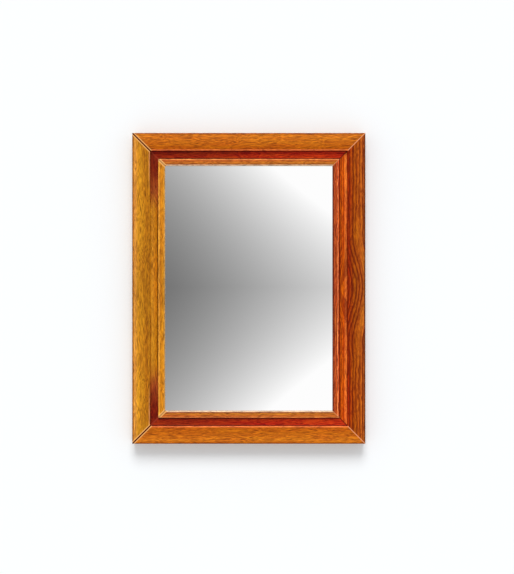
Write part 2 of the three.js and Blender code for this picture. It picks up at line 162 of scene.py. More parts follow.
for name, bearing, height, strength in (
    ("key", 0, KEY_HEIGHT, KEY_STRENGTH),
    ("back", math.pi, BACK_HEIGHT, BACK_STRENGTH),
):
    lamp = bpy.data.objects.new(name, bpy.data.lights.new(name, "SUN"))
    lamp.data.energy = strength
    lamp.data.angle = LAMP_SPREAD
    lamp.rotation_euler = (math.pi / 2 - height, 0, bearing)
    bpy.context.scene.collection.objects.link(lamp)

# The mirrored room's brightness is worked out as a screen shows it, and made linear at the end.
MIRRORED_MIDDLE = 0.651
MIRRORED_SLOPE = 3.0
MIRRORED_SWING = 0.35
MIRRORED_RISE = (2.96, 24.5)
MIRRORED_SHADE = (0.32, 0.04)
LEAST_AHEAD = 0.05
SIDEWAYS = (0.95, 0.8)
SCREEN_GAMMA = 2.2

world = bpy.data.worlds.new("room")
world.use_nodes = True
tree = world.node_tree
tree.nodes.clear()
way = add(tree, "ShaderNodeTexCoord", out="Generated")
axes = add(tree, "ShaderNodeSeparateXYZ", {0: way}).node.outputs
ahead = add(tree, "ShaderNodeMath", {0: axes["Y"]}, operation="ABSOLUTE")
ahead = add(tree, "ShaderNodeMath", {0: ahead, 1: LEAST_AHEAD}, operation="MAXIMUM")
aside = add(tree, "ShaderNodeMath", {0: axes["X"], 1: ahead}, operation="DIVIDE")
wave = add(tree, "ShaderNodeMath", {0: aside, 1: MIRRORED_SLOPE / MIRRORED_SWING},
           operation="MULTIPLY")
wave = add(tree, "ShaderNodeMath", {0: wave}, operation="SINE")
level = add(tree, "ShaderNodeMath", {0: wave, 1: MIRRORED_SWING, 2: MIRRORED_MIDDLE},
            operation="MULTIPLY_ADD")
upward = add(tree, "ShaderNodeMath", {0: axes["Z"], 1: ahead}, operation="DIVIDE")
upward = add(tree, "ShaderNodeMath", {0: upward}, operation="ABSOLUTE")
rise = add(tree, "ShaderNodeMath", {0: upward, 1: MIRRORED_RISE[1], 2: MIRRORED_RISE[0]},
           operation="MULTIPLY_ADD")
rise = add(tree, "ShaderNodeMath", {0: rise, 1: upward, 2: 1}, operation="MULTIPLY_ADD")
level = add(tree, "ShaderNodeMath", {0: level, 1: rise}, operation="MULTIPLY")
level = add(tree, "ShaderNodeMath", {0: level, 1: 1}, operation="MINIMUM")
level = add(tree, "ShaderNodeMath", {0: level, 1: SCREEN_GAMMA}, operation="POWER")
sideways = add(tree, "ShaderNodeMapRange", {"Value": ahead, "From Min": SIDEWAYS[0],
                                            "From Max": SIDEWAYS[1]})
shade = add(tree, "ShaderNodeMapRange", {"Value": axes["Z"], "From Min": -0.5, "From Max": 0.5,
                                         "To Min": MIRRORED_SHADE[0], "To Max": MIRRORED_SHADE[1]})
shade = add(tree, "ShaderNodeMath", {0: shade, 1: sideways}, operation="MULTIPLY")
shade = add(tree, "ShaderNodeMath", {0: 1, 1: shade}, operation="SUBTRACT")
level = add(tree, "ShaderNodeMath", {0: level, 1: shade}, operation="MULTIPLY")
rays = add(tree, "ShaderNodeLightPath").node.outputs
mirrored = add(tree, "ShaderNodeBackground", {"Color": linear("ffffff"), "Strength": level})
even = add(tree, "ShaderNodeBackground", {"Color": linear("ffffff"), "Strength": ROOM_LIGHT})
seen = add(tree, "ShaderNodeBackground", {"Color": linear("ffffff"), "Strength": 1})
room = add(tree, "ShaderNodeMixShader", {0: rays["Is Glossy Ray"], 1: even, 2: mirrored})
room = add(tree, "ShaderNodeMixShader", {0: rays["Is Camera Ray"], 1: room, 2: seen})
add(tree, "ShaderNodeOutputWorld", {"Surface": room})
bpy.context.scene.world = world


# ---- The frame's rails and stiles ---------------------------------------------------------------
# Four lengths of one hardwood moulding, run on a spindle moulder, mitred, glued and nailed from
# behind. In its section u runs inwards from the outer edge and v from the back to the face. The
# channel is drawn dark and red, partly stain and partly painted shade, a satin lacquer covers the
# front, and the back is bare.
OUTER_WIDTH = cad_box[1][0] - cad_box[0][0]
OUTER_HEIGHT = cad_box[1][2] - cad_box[0][2]
BACK_OF_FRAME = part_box("frame_top_rail")[1].y
BAND, LEDGE, CHANNEL_END, SIGHT_EDGE = 34.0, 57.0, 50.0, 63.0
DEPTH, SHOULDER, FLOOR, RECESS = 32.0, 30.6, 23.0, 12.0
SHOULDER_START = 27.5
MOULDING = [
    (0, 0), (BAND, 0), (BAND, RECESS), (LEDGE, RECESS), (LEDGE, FLOOR),
    (BAND, FLOOR), (BAND, SHOULDER), (SHOULDER_START, DEPTH), (0, DEPTH),
]
MOULDING_EASED = {
    (0, 0): (1.0, 2), (BAND, 0): (1.0, 2), (BAND, FLOOR): (2.2, 6), (BAND, SHOULDER): (0.9, 4),
    (SHOULDER_START, DEPTH): (5.5, 10), (0, DEPTH): (1.6, 6),
}
MITRE_SEAM, MITRE_EASE = 0.01, 0.1
NAIL_STEEL, NAIL_CLEARANCE, OVERCUT = 0.6, 0.3, 1.0
HAIRLINE, SAME_PLACE = 0.01, 0.001


def points_of(geom):
    """The points among what an operator returns."""
    return [g for g in geom if isinstance(g, bmesh.types.BMVert)]


def grow(bm, faces, way):
    """Extrudes faces along a vector, and returns the points that moved."""
    points = points_of(bmesh.ops.extrude_face_region(bm, geom=faces)["geom"])
    bmesh.ops.translate(bm, verts=points, vec=way)
    return points


def ease(bm, edges, radius, segments, **options):
    """Rounds edges by a radius in mm."""
    bmesh.ops.bevel(bm, geom=edges, offset=radius * MM, offset_type="OFFSET", affect="EDGES",
                    segments=segments, profile=0.5, material=-1, **options)


def face_outwards(bm):
    """Closes hairline gaps, and turns every face outwards, as the volume's sign tells."""
    bmesh.ops.remove_doubles(bm, verts=bm.verts, dist=HAIRLINE * MM)
    bmesh.ops.dissolve_degenerate(bm, edges=bm.edges, dist=HAIRLINE * MM)
    bmesh.ops.recalc_face_normals(bm, faces=bm.faces)
    if bm.calc_volume(signed=True) < 0:
        bmesh.ops.reverse_faces(bm, faces=bm.faces)


def mitred_length(section, eased, length):
    """A moulding along x, its outer edge at z = 0, mitred and eased at both ends."""
    bm = bmesh.new()
    end = bm.faces.new([bm.verts.new((-length / 2, -v * MM, -u * MM)) for u, v in section])
    grow(bm, [end], (length, 0, 0))
    bmesh.ops.recalc_face_normals(bm, faces=bm.faces)
    for (u, v), (radius, segments) in eased.items():
        corner = Vector((-v * MM, -u * MM))
        ease(bm, [e for e in bm.edges
                  if all((p.co.yz - corner).length < SAME_PLACE * MM for p in e.verts)],
             radius, segments)
    for side in (-1, 1):
        bmesh.ops.bisect_plane(bm, geom=bm.verts[:] + bm.edges[:] + bm.faces[:], dist=1e-7,
                               plane_co=(side * (length / 2 - MITRE_SEAM * MM), 0, 0),
                               plane_no=(side, 0, -1), clear_outer=True)
        cut = [e for e in bm.edges if e.is_boundary]
        cap = bmesh.ops.edgeloop_fill(bm, edges=cut)["faces"]
        ease(bm, [e for f in cap for e in f.edges], MITRE_EASE, 2, clamp_overlap=True)
    face_outwards(bm)
    return bm


def into_place(bm, turn, across):
    """Turns a length about y by quarter turns from the top rail, and moves it out to its side."""
    about_y = Matrix.Rotation(turn * math.pi / 2, 3, "Y")
    bmesh.ops.rotate(bm, verts=bm.verts, matrix=about_y)
    out = about_y @ Vector((0, 0, across / 2))
    bmesh.ops.translate(bm, verts=bm.verts, vec=(out.x, BACK_OF_FRAME, out.z))


def rounded(piece, below=30):
    """Shades a piece smooth where its faces meet at less than this angle."""
    piece.data.shade_smooth()
    piece.data.set_sharp_from_angle(angle=math.radians(below))


def finished(name, bm, material, replaced, body="frame"):
    """Makes a bmesh an object that rides on a body and stands for CAD nodes."""
    mesh = bpy.data.meshes.new(name)
    bm.to_mesh(mesh)
    bm.free()
    mesh.materials.append(material)
    piece = bpy.data.objects.new(name, mesh)
    bpy.context.scene.collection.objects.link(piece)
    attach(piece, body)
    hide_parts(*replaced)
    return piece


def settle(piece):
    """Applies a piece's modifiers to its mesh."""
    depsgraph = bpy.context.evaluated_depsgraph_get()
    piece.data = bpy.data.meshes.new_from_object(piece.evaluated_get(depsgraph))
    piece.data.name = piece.name
    piece.modifiers.clear()


def carve(piece, tool, operation="DIFFERENCE"):
    """Cuts a piece's mesh with a bmesh, and keeps the piece's material."""
    tool_mesh = bpy.data.meshes.new("tool")
    tool.to_mesh(tool_mesh)
    tool.free()
    cutter = bpy.data.objects.new("tool", tool_mesh)
    bpy.context.scene.collection.objects.link(cutter)
    cut = piece.modifiers.new("cut", "BOOLEAN")
    cut.operation = operation
    cut.solver = "EXACT"
    cut.object = cutter
    settle(piece)
    bpy.data.objects.remove(cutter)


# Lengths and widths in mm of the marks that the grain is drawn with, how light each makes the wood,
# and how far they turn its hue.
BEND, BEND_BY = (110, 45), 16
BROAD_MARK, FIBRE_MARK, PORE_MARK = (85, 7), (18, 0.8), (8, 1.2)
PLAIN_TONE, BROAD_TONE, FIBRE_TONE, PORE_TONE = 0.535, 0.12, 0.91, -0.24
PLAIN_HUE, MARK_HUE = 0.492, 0.008
# How far in mm the joint's line and its rims reach on each side of the mitre, and the line's blur.
JOINT_LINE, JOINT_RIM, JOINT_BLUR = 1.45, 3.4, 0.15
# How far in from the outer edge still counts as the side, how much of a normal makes a face look
# back, and where the stain that laps round the back edges ends.
ON_SIDE, LOOKS_BACK = 0.4, 0.7
STAIN_LAP = (2.2, 3.6)


def timber(name, along, half_across, half_length, tones, painted_light=None, figure=None):
    """A stained and lacquered hardwood, whose tones are colours at distances u in mm."""
    material, tree = new_material(name)
    place = add(tree, "ShaderNodeTexCoord").node.outputs
    mm = add(tree, "ShaderNodeVectorMath", {0: place["Object"], "Scale": 1 / MM}, operation="SCALE")
    x, y, z = add(tree, "ShaderNodeSeparateXYZ", {0: mm}).node.outputs[:3]
    run, cross = (x, z) if along == "x" else (z, x)
    u = add(tree, "ShaderNodeMath", {0: cross}, operation="ABSOLUTE")
    u = add(tree, "ShaderNodeMath", {0: half_across, 1: u}, operation="SUBTRACT")
    from_middle = add(tree, "ShaderNodeMath", {0: run}, operation="ABSOLUTE")
    from_end = add(tree, "ShaderNodeMath", {0: half_length, 1: from_middle}, operation="SUBTRACT")
    in_channel = add(tree, "ShaderNodeMath", {0: u, 1: (BAND + CHANNEL_END) / 2,
                                              2: (CHANNEL_END - BAND) / 2}, operation="COMPARE")

    def stretched(mark, source):
        """Coordinates in which a grain mark of this length and width is one unit each way."""
        length, width = (1 / size for size in mark)
        scale = (length, width, width) if along == "x" else (width, width, length)
        return add(tree, "ShaderNodeVectorMath", {0: source, 1: scale}, operation="MULTIPLY")

    # The grain wanders a little. Its open pores, in truth a quarter of a millimetre wide, and the
    # fibres between them are drawn about 1 mm wide, so that they show.
    bend = add(tree, "ShaderNodeTexNoise", {"Vector": stretched(BEND, mm), "Scale": 1,
                                            "Detail": 2}, out="Color")
    bend = add(tree, "ShaderNodeVectorMath", {0: bend, 1: (0.5, 0.5, 0.5)}, operation="SUBTRACT")
    bend = add(tree, "ShaderNodeVectorMath", {0: bend, "Scale": BEND_BY}, operation="SCALE")
    bent = add(tree, "ShaderNodeVectorMath", {0: mm, 1: bend}, operation="ADD")
    broad = add(tree, "ShaderNodeTexNoise", {"Vector": stretched(BROAD_MARK, bent), "Scale": 1,
                                             "Detail": 2})
    broad = add(tree, "ShaderNodeMapRange", {"Value": broad, "From Min": 0.34, "From Max": 0.66})
    fibre = add(tree, "ShaderNodeTexNoise", {"Vector": stretched(FIBRE_MARK, bent), "Scale": 1,
                                             "Detail": 2, "Roughness": 0.6})
    fibre = add(tree, "ShaderNodeMapRange", {"Value": fibre, "From Min": 0.38, "From Max": 0.62})
    pores = add(tree, "ShaderNodeTexNoise", {"Vector": stretched(PORE_MARK, bent), "Scale": 1,
                                             "Detail": 1})
    pores = add(tree, "ShaderNodeMapRange", {"Value": pores, "From Min": 0.55, "From Max": 0.66})

    across = add(tree, "ShaderNodeMath", {0: u, 1: SIGHT_EDGE}, operation="DIVIDE")
    base = add(tree, "ShaderNodeValToRGB", {0: across})
    stops = base.node.color_ramp.elements
    stops.remove(stops[1])
    for i, (at, hex_text) in enumerate(tones):
        stop = stops[0] if i == 0 else stops.new(at / SIGHT_EDGE)
        stop.position = at / SIGHT_EDGE
        stop.color = linear(hex_text)
    # Painted light and shade, where a timber has them, go onto the tones here.
    if painted_light:
        base = painted_light(tree, base, {"u": u, "run": run, "from_middle": from_middle,
                                  "in_channel": in_channel})

    shade, tint = PLAIN_TONE, PLAIN_HUE
    for marks, tone in ((broad, BROAD_TONE), (fibre, FIBRE_TONE), (pores, PORE_TONE)):
        shade = add(tree, "ShaderNodeMath", {0: marks, 1: tone, 2: shade},
                    operation="MULTIPLY_ADD")
    for marks in (broad, fibre):
        tint = add(tree, "ShaderNodeMath", {0: marks, 1: MARK_HUE, 2: tint},
                   operation="MULTIPLY_ADD")
    colour = add(tree, "ShaderNodeHueSaturation", {"Color": base, "Value": shade, "Hue": tint})
    if figure:
        # The growth rings run on round the outer edge and back along the side.
        on_side = add(tree, "ShaderNodeMath", {0: u, 1: ON_SIDE}, operation="LESS_THAN")
        depth = add(tree, "ShaderNodeMath", {0: y, 1: DEPTH - BACK_OF_FRAME / MM}, operation="ADD")
        depth = add(tree, "ShaderNodeMath", {0: depth, 1: on_side}, operation="MULTIPLY")
        unrolled = add(tree, "ShaderNodeMath", {0: u, 1: depth}, operation="SUBTRACT")
        colour = figure(tree, colour, bent, unrolled, from_middle, in_channel)

    # The joint shows as a dark line between two bright rims, which are painted highlights on its
    # eased edges, at the left corners, and as a thinner pale line at the right ones. So that it
    # shows, it is drawn 1.5 mm wide each side at the left and half that at the right.
    from_joint = add(tree, "ShaderNodeMath", {0: u, 1: from_end}, operation="SUBTRACT")
    from_joint = add(tree, "ShaderNodeMath", {0: from_joint, 1: math.sqrt(0.5)},
                     operation="MULTIPLY")
    from_joint = add(tree, "ShaderNodeMath", {0: from_joint}, operation="ABSOLUTE")
    left = add(tree, "ShaderNodeMath", {0: x, 1: 0}, operation="LESS_THAN")
    thinner = add(tree, "ShaderNodeMath", {0: left, 1: -1, 2: 2}, operation="MULTIPLY_ADD")
    from_joint = add(tree, "ShaderNodeMath", {0: from_joint, 1: thinner}, operation="MULTIPLY")
    line = add(tree, "ShaderNodeMapRange", {"Value": from_joint, "To Min": 1, "To Max": 0,
                                            "From Min": JOINT_LINE - JOINT_BLUR,
                                            "From Max": JOINT_LINE + JOINT_BLUR})
    on_slip = add(tree, "ShaderNodeMath", {0: u, 1: CHANNEL_END}, operation="GREATER_THAN")
    fainter = add(tree, "ShaderNodeMath", {0: on_slip, 1: -0.5, 2: 1}, operation="MULTIPLY_ADD")
    line = add(tree, "ShaderNodeMath", {0: line, 1: fainter}, operation="MULTIPLY")
    # The bright rims are painted highlights.
    rim = add(tree, "ShaderNodeMapRange", {"Value": from_joint, "From Min": JOINT_RIM - 1,
                                           "From Max": JOINT_RIM, "To Min": 0.95, "To Max": 0})
    rim = add(tree, "ShaderNodeMath", {0: rim, 1: left}, operation="MULTIPLY")
    at_left = add(tree, "ShaderNodeMix",
                  {"Factor": in_channel, "A": linear("5c1a02"), "B": linear("98301a")},
                  out="Result", data_type="RGBA")
    at_right = add(tree, "ShaderNodeMix",
                   {"Factor": in_channel, "A": linear("f0a070"), "B": linear("5a1004")},
                   out="Result", data_type="RGBA")
    line_colour = add(tree, "ShaderNodeMix", {"Factor": left, "A": at_right, "B": at_left},
                      out="Result", data_type="RGBA")
    on_wood = add(tree, "ShaderNodeMath", {0: 1, 1: in_channel}, operation="SUBTRACT")
    rim = add(tree, "ShaderNodeMath", {0: rim, 1: on_wood}, operation="MULTIPLY")
    colour = add(tree, "ShaderNodeMix", {"Factor": rim, "A": colour, "B": linear("ffbe70")},
                 out="Result", data_type="RGBA")
    colour = add(tree, "ShaderNodeMix", {"Factor": line, "A": colour, "B": line_colour},
                 out="Result", data_type="RGBA")

    # Stain and lacquer stop a few millimetres round the back edges, and the timber behind is bare.
    facing = add(tree, "ShaderNodeSeparateXYZ", {0: place["Normal"]}, out="Y")
    behind = add(tree, "ShaderNodeMath", {0: facing, 1: LOOKS_BACK}, operation="GREATER_THAN")
    lapped = add(tree, "ShaderNodeMath", {0: u, 1: fibre}, operation="ADD")
    lapped = add(tree, "ShaderNodeMapRange", {"Value": lapped, "From Min": STAIN_LAP[0],
                                              "From Max": STAIN_LAP[1]})
    behind = add(tree, "ShaderNodeMath", {0: behind, 1: lapped}, operation="MULTIPLY")
    recess = add(tree, "ShaderNodeMath", {0: y, 1: BACK_OF_FRAME / MM - RECESS - 0.1},
                 operation="GREATER_THAN")
    inward = add(tree, "ShaderNodeMath", {0: u, 1: BAND - 0.6}, operation="GREATER_THAN")
    recess = add(tree, "ShaderNodeMath", {0: recess, 1: inward}, operation="MULTIPLY")
    bare = add(tree, "ShaderNodeMath", {0: behind, 1: recess}, operation="MAXIMUM")
    sawn = add(tree, "ShaderNodeMath", {0: shade, 1: 0.5, 2: 0.48}, operation="MULTIPLY_ADD")
    raw = add(tree, "ShaderNodeHueSaturation", {"Color": linear("c79a63"), "Value": sawn})
    colour = add(tree, "ShaderNodeMix", {"Factor": bare, "A": colour, "B": raw}, out="Result",
                 data_type="RGBA")

    relief = add(tree, "ShaderNodeMath", {0: fibre, 1: pores}, operation="SUBTRACT")
    bump = add(tree, "ShaderNodeBump", {"Height": relief, "Strength": 0.25, "Distance": 0.12 * MM})
    rough = add(tree, "ShaderNodeMath", {0: fibre, 1: 0.12, 2: 0.34}, operation="MULTIPLY_ADD")
    rough = add(tree, "ShaderNodeMath", {0: bare, 1: 0.4, 2: rough}, operation="MULTIPLY_ADD")
    surface = add(tree, "ShaderNodeBsdfPrincipled", {"Base Color": colour, "Roughness": rough,
                                                     "Normal": bump, "IOR": 1.5,
                                                     "Specular IOR Level": 0.08})
    add(tree, "ShaderNodeOutputMaterial", {"Surface": surface})
    return material


# Where the painted light and shade change, in mm from the middle of a rail or a stile. The red
# ends, painted shadow, slant, by SLANT of the distance from the outer edge.
RED_BRIGHTENS = 132
ENDS_REDDEN, ENDS_DARKEN, SLANT = (155, 205), (188, 250), 0.3
FACE_BRIGHTENS, CHANNEL_DULLS = (15, 110), (15, 90)


def rail_painted_light(tree, base, place):
    """On the rails the red of the channel grows brighter from left to right, as painted light."""
    bright = add(tree, "ShaderNodeMapRange",
                 {"Value": place["run"], "From Min": -RED_BRIGHTENS, "From Max": RED_BRIGHTENS,
                  "To Min": -0.29, "To Max": 0.23})
    bright = add(tree, "ShaderNodeMath", {0: bright, 1: place["in_channel"], 2: 1},
                 operation="MULTIPLY_ADD")
    return add(tree, "ShaderNodeHueSaturation", {"Color": base, "Value": bright})


def left_stile_painted_light(tree, base, place):
    """Painted light on the left stile: the channel's ends red and dark as painted shadow of the
    rails, a painted highlight on the arris beside them, and the face darker at mid-height, where
    the channel is lighter.
    """
    u, from_middle, in_channel = place["u"], place["from_middle"], place["in_channel"]
    slant = add(tree, "ShaderNodeMath", {0: u, 1: SLANT, 2: from_middle}, operation="MULTIPLY_ADD")
    for (start, full), hex_text in ((ENDS_REDDEN, "a0481a"), (ENDS_DARKEN, "7b1c05")):
        corner = add(tree, "ShaderNodeMapRange",
                     {"Value": slant, "From Min": start, "From Max": full},
                     interpolation_type="SMOOTHSTEP")
        red = add(tree, "ShaderNodeMath", {0: corner, 1: in_channel}, operation="MULTIPLY")
        base = add(tree, "ShaderNodeMix", {"Factor": red, "A": base, "B": linear(hex_text)},
                   out="Result", data_type="RGBA")
    # A painted highlight on the band's arris beside the red ends.
    arris = add(tree, "ShaderNodeMath", {0: u, 1: BAND - 1, 2: 1}, operation="COMPARE")
    arris = add(tree, "ShaderNodeMath", {0: corner, 1: arris}, operation="MULTIPLY")
    base = add(tree, "ShaderNodeMix", {"Factor": arris, "A": base, "B": linear("d28850")},
               out="Result", data_type="RGBA")
    # Painted shade darkens the face at mid-height, and painted light brightens the channel there.
    bright = add(tree, "ShaderNodeMapRange",
                 {"Value": from_middle, "From Min": FACE_BRIGHTENS[0],
                  "From Max": FACE_BRIGHTENS[1], "To Min": 0.86, "To Max": 1},
                 interpolation_type="SMOOTHSTEP")
    of_channel = add(tree, "ShaderNodeMapRange",
                     {"Value": from_middle, "From Min": CHANNEL_DULLS[0],
                      "From Max": CHANNEL_DULLS[1], "To Min": 1.1, "To Max": 0.98},
                     interpolation_type="SMOOTHSTEP")
    bright = add(tree, "ShaderNodeMix", {"Factor": in_channel, "A": bright, "B": of_channel},
                 out="Result")
    return add(tree, "ShaderNodeHueSaturation", {"Color": base, "Value": bright})


# Spacing in mm of the right stile's growth rings. Noise moves them sideways twice, by broad waves
# and by short ragged ones: each wave's length and width, its detail, and how far it moves them.
RING_ON_BAND, RING_IN_CHANNEL, RING_ON_SLIP = 6.6, 4.3, 3.4
RING_WAVES = ((80, 13, 1, 6.5), (14, 4, 2, 3.5))
# The figure's places in mm. Those named REACH, FADE or GROWS are measured from mid-height, the lens
# from the outer edge, and the almond's and the tongue's sides from the channel's outer side.
LEAN, LEAN_REACH = 20, 105
LENS_IN, LENS_OUT, LENS_FADE = (8.5, 10.5), (18, 20), (105, 150)
ALMOND, ALMOND_REACH, ALMOND_BLUR = (12, -2), (3, 34), (-0.8, 1.2)
TONGUE, TONGUE_REACH, TONGUE_BLUR = (14.2, 0.5), (10, 90), 0.8
TONGUE_BREADTH, BREADTH_GROWS = (1.6, 5.4), (30, 60)


def cathedral(tree, colour, bent, u, from_middle, in_channel):
    """Flat-sawn figure: dark late-wood lines in nested arcs about mid-height, with painted shade
    that darkens the stile at mid-height.
    """
    across = u
    for length, width, detail, swing in RING_WAVES:
        scale = (1 / width, 1 / width, 1 / length)
        wave = add(tree, "ShaderNodeVectorMath", {0: bent, 1: scale}, operation="MULTIPLY")
        wave = add(tree, "ShaderNodeTexNoise", {"Vector": wave, "Scale": 1, "Detail": detail})
        wave = add(tree, "ShaderNodeMath", {0: wave, 1: 0.5}, operation="SUBTRACT")
        across = add(tree, "ShaderNodeMath", {0: wave, 1: swing, 2: across},
                     operation="MULTIPLY_ADD")

    # The lines of the outer band lean out towards its edge at mid-height, and one broad pale ring
    # leaves a lens there above and below.
    lean = add(tree, "ShaderNodeMapRange",
               {"Value": from_middle, "From Max": LEAN_REACH, "To Min": LEAN, "To Max": 0},
               interpolation_type="SMOOTHSTEP")
    on_band = add(tree, "ShaderNodeMath", {0: across, 1: lean}, operation="ADD")
    lens = add(tree, "ShaderNodeMapRange",
               {"Value": on_band, "From Min": LENS_IN[0], "From Max": LENS_IN[1]})
    lens_end = add(tree, "ShaderNodeMapRange", {"Value": on_band, "From Min": LENS_OUT[0],
                                                "From Max": LENS_OUT[1], "To Min": 1, "To Max": 0})
    lens = add(tree, "ShaderNodeMath", {0: lens, 1: lens_end}, operation="MULTIPLY")
    lens_end = add(tree, "ShaderNodeMapRange",
                   {"Value": from_middle, "From Min": LENS_FADE[0], "From Max": LENS_FADE[1],
                    "To Min": 1, "To Max": 0.2})
    lens = add(tree, "ShaderNodeMath", {0: lens, 1: lens_end}, operation="MULTIPLY")

    # In the channel a bright almond lies at mid-height, and round it runs a bright tongue, which
    # follows the outer side towards both ends.
    almond = add(tree, "ShaderNodeMapRange",
                 {"Value": from_middle, "From Min": ALMOND_REACH[0], "From Max": ALMOND_REACH[1],
                  "To Min": BAND + ALMOND[0], "To Max": BAND + ALMOND[1]},
                 interpolation_type="SMOOTHSTEP")
    almond = add(tree, "ShaderNodeMath", {0: almond, 1: across}, operation="SUBTRACT")
    almond = add(tree, "ShaderNodeMapRange",
                 {"Value": almond, "From Min": ALMOND_BLUR[0], "From Max": ALMOND_BLUR[1]})
    round_it = add(tree, "ShaderNodeMapRange",
                   {"Value": from_middle, "From Min": TONGUE_REACH[0], "From Max": TONGUE_REACH[1],
                    "To Min": BAND + TONGUE[0], "To Max": BAND + TONGUE[1]},
                   interpolation_type="SMOOTHSTEP")
    beyond = add(tree, "ShaderNodeMath", {0: across, 1: round_it}, operation="SUBTRACT")
    breadth = add(tree, "ShaderNodeMapRange",
                  {"Value": from_middle, "From Min": BREADTH_GROWS[0], "From Max": BREADTH_GROWS[1],
                   "To Min": TONGUE_BREADTH[0], "To Max": TONGUE_BREADTH[1]})
    tongue_end = add(tree, "ShaderNodeMath", {0: breadth, 1: beyond}, operation="SUBTRACT")
    tongue_end, tongue = [
        add(tree, "ShaderNodeMapRange",
            {"Value": inwards, "From Min": -TONGUE_BLUR, "From Max": TONGUE_BLUR})
        for inwards in (tongue_end, beyond)
    ]
    inside = add(tree, "ShaderNodeMath", {0: 1, 1: tongue}, operation="SUBTRACT")
    tongue = add(tree, "ShaderNodeMath", {0: tongue, 1: tongue_end}, operation="MULTIPLY")
    bright = add(tree, "ShaderNodeMath", {0: almond, 1: tongue}, operation="MAXIMUM")

    # Growth rings: each darkens slowly and ends in a sharp dark line.
    on_slip = add(tree, "ShaderNodeMath", {0: u, 1: CHANNEL_END}, operation="GREATER_THAN")
    count = add(tree, "ShaderNodeMath", {0: on_band, 1: 1 / RING_ON_BAND}, operation="MULTIPLY")
    of_channel = add(tree, "ShaderNodeMath", {0: beyond, 1: 1 / RING_IN_CHANNEL},
                     operation="MULTIPLY")
    of_slip = add(tree, "ShaderNodeMath", {0: across, 1: 1 / RING_ON_SLIP}, operation="MULTIPLY")
    count = add(tree, "ShaderNodeMix", {"Factor": in_channel, "A": count, "B": of_channel},
                out="Result")
    count = add(tree, "ShaderNodeMix", {"Factor": on_slip, "A": count, "B": of_slip},
                out="Result")
    ring = add(tree, "ShaderNodeMath", {0: count}, operation="FRACT")
    late = add(tree, "ShaderNodeMapRange", {"Value": ring, "From Min": 0.3, "From Max": 0.75},
               interpolation_type="SMOOTHSTEP")
    sharp = add(tree, "ShaderNodeMapRange",
                {"Value": ring, "From Min": 0.88, "From Max": 1, "To Min": 1, "To Max": 0})
    late = add(tree, "ShaderNodeMath", {0: late, 1: sharp}, operation="MULTIPLY")
    inside = add(tree, "ShaderNodeMath", {0: inside, 1: in_channel}, operation="MULTIPLY")
    inside = add(tree, "ShaderNodeMath", {0: inside, 1: 0.75}, operation="MULTIPLY")
    late = add(tree, "ShaderNodeMath", {0: late, 1: inside}, operation="MAXIMUM")
    pale = add(tree, "ShaderNodeMix", {"Factor": in_channel, "A": lens, "B": bright}, out="Result")
    not_slip = add(tree, "ShaderNodeMath", {0: 1, 1: on_slip}, operation="SUBTRACT")
    pale = add(tree, "ShaderNodeMath", {0: pale, 1: not_slip}, operation="MULTIPLY")
    plain = add(tree, "ShaderNodeMath", {0: 1, 1: pale}, operation="SUBTRACT")
    late = add(tree, "ShaderNodeMath", {0: late, 1: plain}, operation="MULTIPLY")
    strength = add(tree, "ShaderNodeMath", {0: in_channel, 1: -0.22, 2: 0.82},
                   operation="MULTIPLY_ADD")
    late = add(tree, "ShaderNodeMath", {0: late, 1: strength}, operation="MULTIPLY")
    glow = add(tree, "ShaderNodeMath", {0: in_channel, 1: -0.12, 2: 0.15}, operation="MULTIPLY_ADD")
    light = add(tree, "ShaderNodeMath", {0: pale, 1: glow, 2: 1.22}, operation="MULTIPLY_ADD")
    # Painted shade: the stile is darker at mid-height and lighter towards its ends.
    ends = add(tree, "ShaderNodeMapRange", {"Value": from_middle, "From Min": 60, "From Max": 210,
                                            "To Min": 0.93, "To Max": 1.1})
    light = add(tree, "ShaderNodeMath", {0: light, 1: ends}, operation="MULTIPLY")
    hue = add(tree, "ShaderNodeMath", {0: pale, 1: 0.004, 2: 0.5}, operation="MULTIPLY_ADD")
    colour = add(tree, "ShaderNodeHueSaturation", {"Color": colour, "Value": light, "Hue": hue})
    return add(tree, "ShaderNodeMix", {"Factor": late, "A": colour, "B": linear("641400")},
               out="Result", data_type="RGBA")


half_width, half_height = OUTER_WIDTH / 2 / MM, OUTER_HEIGHT / 2 / MM
# The rails: open-grained hardwood, planed, stained and lacquered. It reads as a warm orange brown
# with short dark pores, beside a deep red channel.
amber = timber("amber_hardwood", "x", half_height, half_width, [
    # the side, its edge drawn dark as painted shade, and the band, darker towards the channel as
    # painted shade
    (0, "8e521a"), (0.5, "7c4616"), (1.6, "b05506"), (5.5, "cf7118"), (31, "b35502"),
    # the arris over the channel, a painted highlight, then the red channel, partly stain and partly
    # painted shade, with painted shade along both its edges
    (33.8, "ff8047"), (34.2, "380201"), (36, "a72208"), (47, "a82908"), (49.6, "200201"),
    # the slip: a painted highlight on its outer arris, the face, and a painted highlight along the
    # sight edge
    (50.2, "ff9e53"), (52.5, "c05c20"), (58, "bf6f22"), (60.3, "96421a"),
    (62, "efc79a"), (62.7, "ffe6ca"), (63, "b87c48"),
], painted_light=rail_painted_light)
# The left stile: the same timber, drawn yellower and lighter, with its grain plainer.
golden = timber("golden_hardwood", "z", half_width, half_height, [
    # the side, its edge drawn dark as painted shade, a painted highlight just inside it, and the
    # band, darker towards the channel as painted shade
    (0, "c0801e"), (0.5, "82541c"), (1.9, "ac5f08"),
    (3.9, "e1933e"), (11, "d18a1e"), (29, "af6a0d"),
    # the channel, plain but for its ends, which are red as painted shadow, with painted shade in
    # its inner corner
    (38.6, "ca841e"), (46.5, "bf7001"), (49.8, "260c01"),
    # the slip: a painted highlight on its outer arris, and the face
    (50.3, "ffb144"), (54, "c67715"), (60, "da8c1c"), (63, "c4914c"),
], painted_light=left_stile_painted_light)
